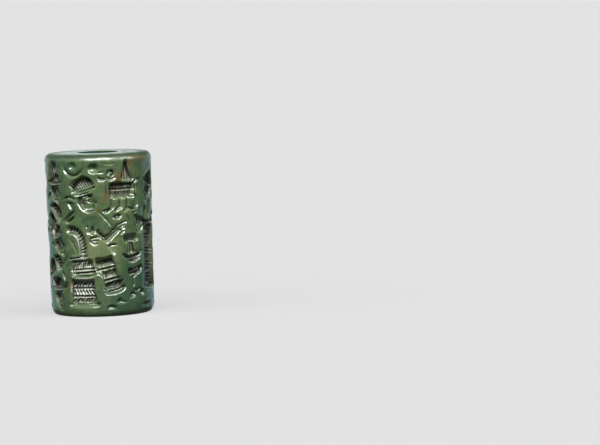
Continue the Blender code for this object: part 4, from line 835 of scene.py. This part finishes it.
bm = bmesh.new()
outline = [bm.verts.new((r * MM, 0.0, z * MM)) for r, z in stone_profile()]
edges = [bm.edges.new(pair) for pair in zip(outline, outline[1:] + outline[:1])]
bmesh.ops.spin(bm, geom=outline + edges, cent=(0, 0, 0), axis=(0, 0, 1), angle=2 * math.pi,
               steps=WALL_COLUMNS, use_merge=True, use_duplicate=False)
bmesh.ops.remove_doubles(bm, verts=bm.verts, dist=SAME_POINT)
bmesh.ops.recalc_face_normals(bm, faces=bm.faces)
mesh = bpy.data.meshes.new("carved_seal")
bm.to_mesh(mesh)
bm.free()

cut = (1 - LIP_SHARE) * soften(hollows, HOLLOW_WEAR) + LIP_SHARE * soften(hollows, LIP_WEAR)
depth = DEEP * cut + soften(lines, LINE_WEAR)
places = np.empty(3 * len(mesh.vertices), dtype=np.float32)
mesh.vertices.foreach_get("co", places)
places = places.reshape(-1, 3) / MM
radius = np.hypot(places[:, 0], places[:, 1])
on_wall = radius > RADIUS_FOOT - RIM_FOOT[0]
sunk = np.where(on_wall, read_map(depth, places), 0)
share = 1 - sunk / radius
mesh.vertices.foreach_set("co", (np.c_[places[:, :2] * share[:, None], places[:, 2]] * MM).ravel())
mesh.shade_smooth()

seal = bpy.data.objects.new("carved_seal", mesh)
bpy.context.collection.objects.link(seal)


def paint(name, values):
    """Stores one number for each of the stone's points, for the finish to read."""
    attribute = mesh.attributes.new(name, "FLOAT", "POINT")
    attribute.data.foreach_set("value", values.astype(np.float32))


# the band along the top rim's edge, which gets painted shade
outwards = np.clip((radius - RIM_SHADE_RADIUS) / RIM_SHADE_FADE, 0, 1)
upwards = np.clip((places[:, 2] - HEIGHT + RIM_SHADE_DOWN) / RIM_SHADE_FADE, 0, 1)
paint("carved", sunk)
paint("hatched", np.where(on_wall, read_map(soften(lines, HATCH_SPREAD), places), 0))
paint("edge", np.where(on_wall, read_map(soften(depth, EDGE_SPREAD) - depth, places), 0))
paint("inside", radius < BORE_RADIUS + 1.5 * MOUTH_FLARE)
paint("end_face", (radius < END_FLAT) & (radius > BORE_RADIUS + 0.5 * MOUTH_FLARE))
paint("rim_shade", upwards * outwards)

# the finish: green mottling, dark specks and one rusty vein; pale hatching and lips, partly chalk and
# partly painted highlight; dirt and painted shade in the cuts; painted shade in the bore and on the top
# rim's edge; a paler front patch painted as a pool of light

stone = bpy.data.materials.new("mottled_green_stone")
stone.use_nodes = True
nodes = stone.node_tree.nodes
links = stone.node_tree.links
shader = nodes["Principled BSDF"]
spot = nodes.new("ShaderNodeTexCoord").outputs["Object"]


def feed(socket, value):
    """Sets a socket to a plain value, or links another node's output to it."""
    if isinstance(value, bpy.types.NodeSocket):
        links.new(value, socket)
    else:
        socket.default_value = value


def noise(size, detail=4.0, rough=0.55, distort=0.0):
    """Cloudy noise whose patches are about the given size in millimetres."""
    cloud = nodes.new("ShaderNodeTexNoise")
    feed(cloud.inputs["Vector"], spot)
    feed(cloud.inputs["Scale"], 1 / (size * MM))
    feed(cloud.inputs["Detail"], detail)
    feed(cloud.inputs["Roughness"], rough)
    feed(cloud.inputs["Distortion"], distort)
    return cloud.outputs["Fac"]


def sums(operation, first, second=0.0, third=0.0):
    """One step of arithmetic on values that change over the stone."""
    step = nodes.new("ShaderNodeMath")
    step.operation = operation
    for socket, value in zip(step.inputs, (first, second, third)):
        feed(socket, value)
    return step.outputs["Value"]


def times(product, *values):
    """Two or more values multiplied together."""
    for value in values:
        product = sums("MULTIPLY", product, value)
    return product


def between(value, low_end, high_end, start=0.0, end=1.0):
    """Maps a value from one range to another, smoothly and no further."""
    stretch = nodes.new("ShaderNodeMapRange")
    stretch.interpolation_type = "SMOOTHSTEP"
    for socket, number in zip(stretch.inputs, (value, low_end, high_end, start, end)):
        feed(socket, number)
    return stretch.outputs["Result"]


def tinted(colour, *layers):
    """Lays colours over one another, each by its own share from 0 to 1."""
    for over, share in layers:
        mix = nodes.new("ShaderNodeMix")
        mix.data_type = "RGBA"
        feed(mix.inputs["Factor"], share)
        feed(mix.inputs["A"], colour)
        feed(mix.inputs["B"], over)
        colour = mix.outputs["Result"]
    return colour


def near_place(middle, full, gone, most):
    """A ragged cloud round one place in the stone, in millimetres."""
    reach = nodes.new("ShaderNodeVectorMath")
    reach.operation = "DISTANCE"
    feed(reach.inputs[0], spot)
    feed(reach.inputs[1], [MM * value for value in middle])
    ragged = sums("MULTIPLY_ADD", noise(1.4, 4, 0.6), 2 * RAGGED * MM, reach.outputs["Value"])
    return between(ragged, (full + RAGGED) * MM, (gone + RAGGED) * MM, most, 0.0)


def painted(name):
    """Reads one of the numbers stored for the stone's points."""
    reader = nodes.new("ShaderNodeAttribute")
    reader.attribute_name = name
    return reader.outputs["Fac"]


RAGGED = 1.5                # how far a cloud's outline wanders, in millimetres
GREEN = (0.079, 0.124, 0.054, 1)
DARK_GREEN = (0.030, 0.068, 0.034, 1)
# pale green, also painted on the front as a pool of light
PALE_GREEN_AND_LIGHT_POOL = (0.150, 0.186, 0.086, 1)
TEAL = (0.027, 0.074, 0.058, 1)
# the specks' colour, also laid along the top rim's edge as painted shade
SPECK_AND_RIM_SHADE = (0.012, 0.028, 0.014, 1)
RUST = (0.125, 0.072, 0.022, 1)
EARTH = (0.054, 0.049, 0.042, 1)
# pale grey chalk, also laid on ridges and lips as painted highlight
CHALK_AND_HIGHLIGHT = (0.540, 0.545, 0.475, 1)
# near black, painted down the bore as shade
BORE_SHADE = (0.008, 0.026, 0.009, 1)
# dirt's colour, also laid in the deepest cuts as painted shade
DIRT_AND_SHADE = (0.034, 0.030, 0.022, 1)

carved, hatched, edge = painted("carved"), painted("hatched"), painted("edge")
inside, rim_shade, end_face = painted("inside"), painted("rim_shade"), painted("end_face")
apart = nodes.new("ShaderNodeSeparateXYZ")
feed(apart.inputs["Vector"], spot)
across, backward, upward = apart.outputs

# the mottling, from broad clouds to specks, darker places low on the right and left, a paler patch
# painted on the front as a pool of light, and painted shade along the top rim's edge
colour = tinted(GREEN,
                (DARK_GREEN, between(noise(3.2, 6, 0.62, 0.6), 0.46, 0.72)),
                (PALE_GREEN_AND_LIGHT_POOL, between(noise(5.5, 5, 0.6, 0.4), 0.48, 0.72)),
                (TEAL, between(noise(11.0, 3, 0.5), 0.50, 0.72, 0.0, 0.5)),
                (DARK_GREEN, between(noise(0.8, 5, 0.7), 0.47, 0.64, 0.0, 0.6)),
                # a paler patch on the front, painted as a pool of light
                (PALE_GREEN_AND_LIGHT_POOL, near_place((-0.4, -8.0, 10.2), 1.5, 4.6, 0.6)),
                (DARK_GREEN, near_place((5.2, -6.2, 3.4), 2.5, 7.0, 0.62)),
                (DARK_GREEN, near_place((-4.6, -6.6, 4.0), 1.0, 4.5, 0.35)),
                # painted shade along the top rim's edge
                (SPECK_AND_RIM_SHADE, times(rim_shade, 0.7)),
                (SPECK_AND_RIM_SHADE, between(noise(0.35, 3, 0.7), 0.60, 0.72, 0.0, 0.8)))

# the vein lies in one plane through the stone, wavering a little, and shows high up and near the foot
VEIN_RISE = (1.856, -1.436)     # how far its plane rises for each step along x, and along y
VEIN_HEIGHT = 4.84              # where the plane crosses the stone's axis, in millimetres
VEIN_WAVER = 4.0                # how wide the band is that it wavers in, in millimetres
level = sums("ADD", times(across, -VEIN_RISE[0]), times(backward, -VEIN_RISE[1]))
from_vein = sums("SUBTRACT", sums("ADD", level, upward), VEIN_HEIGHT * MM)
waver = times(sums("SUBTRACT", noise(2.4, 3, 0.5), 0.5), VEIN_WAVER * MM)
thin = between(sums("ABSOLUTE", sums("ADD", from_vein, waver)), 0.2 * MM, 1.1 * MM, 1.0, 0.0)
high_up = between(upward, 14.6 * MM, 17.0 * MM)
low_patch = between(sums("ABSOLUTE", sums("SUBTRACT", upward, 4.5 * MM)), 0.8 * MM, 1.8 * MM, 1.0, 0.0)
vein = times(thin, sums("MAXIMUM", high_up, low_patch), between(noise(1.8, 4), 0.28, 0.52))

# fingers rub the sides least, and earth stays in the hollows there
sheltered = between(sums("ABSOLUTE", across), 5.6 * MM, 7.0 * MM)
film = times(between(carved, 0.12, 0.38), sheltered, between(noise(0.5, 5, 0.7), 0.35, 0.55, 0.3, 0.78))

# dirt and painted shade darken the hatching's floors and the bottoms of the deepest cuts, and its
# ridges are painted pale, partly chalk and partly painted highlight, most from the stool up to the
# robe's border, and least on the skirt's lower front
in_hatch = times(between(hatched, 0.02, 0.14), between(noise(0.8, 3, 0.6), 0.30, 0.50, 0.6, 1.0))
ridge = between(edge, -0.035, 0.10)
grit = between(noise(0.25, 4, 0.7), 0.35, 0.65, 0.35, 1.0)
# how pale the hatching's ridges are painted, partly chalk and partly painted highlight
chalk_and_highlight = sums("ADD", near_place((-3.4, -7.1, 6.2), 3.0, 4.2, 0.65), 0.33)
chalk_and_highlight = sums("SUBTRACT", chalk_and_highlight, near_place((1.7, -7.8, 6.4), 2.4, 3.4, 0.28))
chalk_and_highlight = sums("ADD", chalk_and_highlight, near_place((-2.8, -7.5, 11.8), 1.6, 2.6, 0.35))
chalk_and_highlight = sums("MULTIPLY_ADD", sheltered, 0.2, chalk_and_highlight)
# dirt and painted shade: the hatching's floors and the bottoms of the deepest cuts
caked_dirt_and_shade = sums("MAXIMUM", times(in_hatch, sums("SUBTRACT", 1.0, ridge)), between(edge, -0.05, -0.20))

# painted highlight on the lips round the deepest hollows, pale at the sides and round the stool and skirt
lip_highlight = sums("MULTIPLY_ADD", sheltered, 0.4, near_place((-1.8, -7.8, 5.2), 3.2, 4.4, 0.55))
lip_highlight = times(lip_highlight, between(edge, 0.09, 0.20))

colour = tinted(colour,
                (RUST, times(vein, 0.7)),
                (EARTH, film),
                # dirt and painted shade in the hatching's floors and deep cuts
                (DIRT_AND_SHADE, times(caked_dirt_and_shade, 0.88)),
                # chalk and painted highlight on the hatching's ridges
                (CHALK_AND_HIGHLIGHT, times(in_hatch, ridge, grit, chalk_and_highlight)),
                # painted highlight on the lips
                (CHALK_AND_HIGHLIGHT, times(lip_highlight, grit)),
                # painted shade down the bore
                (BORE_SHADE, times(inside, 0.9)))
feed(shader.inputs["Base Color"], colour)

# the polish, duller in the hatching and the bore and along the worn top rim
polish = between(noise(1.6, 5, 0.6), 0.35, 0.7, 0.13, 0.25)
worn_top = between(upward, (HEIGHT - 1.6) * MM, (HEIGHT - 0.6) * MM, 0.0, 0.14)
rubbed = sums("MAXIMUM", between(hatched, 0.02, 0.2, 0.0, 0.14), times(inside, 0.4))
rubbed = sums("MAXIMUM", rubbed, times(worn_top, sums("SUBTRACT", 1.0, end_face)))
feed(shader.inputs["Roughness"], sums("ADD", polish, rubbed))
feed(shader.inputs["IOR"], 1.56)
dull = sums("MAXIMUM", film, times(in_hatch, between(chalk_and_highlight, 0.35, 0.9, 0.8, 0.0)))
dull = sums("MAXIMUM", dull, inside)
feed(shader.inputs["Specular IOR Level"], sums("MULTIPLY_ADD", dull, -0.45, 0.5))

# the hand-polished wall's shallow waves, and a fine tooth that is strongest in the cuts
waves = nodes.new("ShaderNodeBump")
feed(waves.inputs["Strength"], sums("MULTIPLY_ADD", end_face, -0.85, 1.0))
feed(waves.inputs["Distance"], 0.10 * MM)
feed(waves.inputs["Height"], noise(1.9, 3, 0.5))
tooth = nodes.new("ShaderNodeBump")
feed(tooth.inputs["Strength"], 1.0)
feed(tooth.inputs["Distance"], 0.03 * MM)
feed(tooth.inputs["Height"], times(noise(0.16, 4, 0.7), between(carved, 0.03, 0.25, 0.15, 1.0),
                                   sums("MULTIPLY_ADD", film, 1.5, 1.0)))
feed(tooth.inputs["Normal"], waves.outputs["Normal"])
feed(shader.inputs["Normal"], tooth.outputs["Normal"])

mesh.materials.append(stone)
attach(seal, "root")
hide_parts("seal")


# ---------------------------------------------------------------- floor and light
# Wide pale paper under the seal with a lamp of its own, six lamps for the stone, and a studio on the
# sky for its gloss: a broad soft band high in front, a cool glow low behind that the sides and the
# top face catch, and the little light that the paper throws back up.

PALE_GREY = (0.74, 0.74, 0.74, 1)
DIM = (0.01, 0.01, 0.01, 1)
FROM_PAPER = (0.10, 0.10, 0.095, 1)
SOFT_BAND = (1.25, 1.25, 1.25, 1)
COOL_WHITE = (0.80, 0.86, 0.92, 1)
COOL_BLUE = (0.32, 0.60, 0.72, 1)

bm = bmesh.new()
bmesh.ops.create_grid(bm, x_segments=1, y_segments=1, size=12.0)
floor_mesh = bpy.data.meshes.new("floor")
bm.to_mesh(floor_mesh)
bm.free()
floor = bpy.data.objects.new("floor", floor_mesh)
floor.visible_diffuse = False
floor.visible_glossy = False
bpy.context.collection.objects.link(floor)
paper = bpy.data.materials.new("pale_paper")
paper.use_nodes = True
for socket, value in (("Base Color", PALE_GREY), ("Roughness", 1.0), ("Specular IOR Level", 0.0)):
    paper.node_tree.nodes["Principled BSDF"].inputs[socket].default_value = value
floor_mesh.materials.append(paper)


def lamp(name, energy, spread, from_where, lit):
    """A far lamp on one object alone, shining past the seal's middle, as soft as its spread in degrees."""
    light = bpy.data.lights.new(name, "SUN")
    light.energy = energy
    light.angle = math.radians(spread)
    holder = bpy.data.objects.new(name, light)
    holder.location = from_where
    holder.rotation_mode = "QUATERNION"
    holder.rotation_quaternion = (Vector((0, 0, MIDDLE)) - Vector(from_where)).to_track_quat("-Z", "Y")
    holder.visible_camera = False
    holder.light_linking.receiver_collection = bpy.data.collections.new(name)
    holder.light_linking.receiver_collection.objects.link(lit)
    bpy.context.collection.objects.link(holder)
    return holder


# key and back light the stone's colour, the sheens and the glint are its gloss, and wash is the floor's
lamp("key", 5.85, 12, (-0.03, -0.46, 0.64), seal).visible_glossy = False
for side, name in ((-1, "sheen_left"), (0, "sheen_middle"), (1, "sheen_right")):
    lamp(name, 3.3, 15, (0.02 + 0.22 * side, -0.56, 0.46), seal).visible_diffuse = False
glint = lamp("glint", 1.9, 9, (0.60, -0.22, 0.32), seal)
glint.visible_diffuse = False
glint.data.color = (0.86, 0.95, 1.0)
lamp("back", 2.4, 20, (0.06, 0.62, 0.50), seal).visible_glossy = False
lamp("wash", 2.05, 0.526, (0, 0, 1), floor).data.use_shadow = False

# the sky's own nodes, made by the same functions as the stone's
world = bpy.data.worlds.new("studio")
bpy.context.scene.world = world
world.use_nodes = True
nodes = world.node_tree.nodes
links = world.node_tree.links
way = nodes.new("ShaderNodeSeparateXYZ")
feed(way.inputs["Vector"], nodes.new("ShaderNodeTexCoord").outputs["Generated"])
to_back, to_top = way.outputs["Y"], way.outputs["Z"]
band = times(between(to_top, 0.24, 0.40), between(to_top, 0.62, 0.82, 1.0, 0.15),
             between(to_back, -0.35, 0.45, 1.0, 0.15))
low_down = between(sums("ABSOLUTE", to_top), 0.12, 0.30, 1.0, 0.0)
behind = times(between(to_back, 0.34, 0.46), low_down)
beside = times(behind, between(to_back, 0.80, 0.97, 1.0, 0.0))
below = between(to_top, -0.30, 0.0, 1.0, 0.0)
sky = tinted(DIM, (FROM_PAPER, below), (SOFT_BAND, band), (COOL_WHITE, behind), (COOL_BLUE, beside))
feed(nodes["Background"].inputs["Color"], sky)
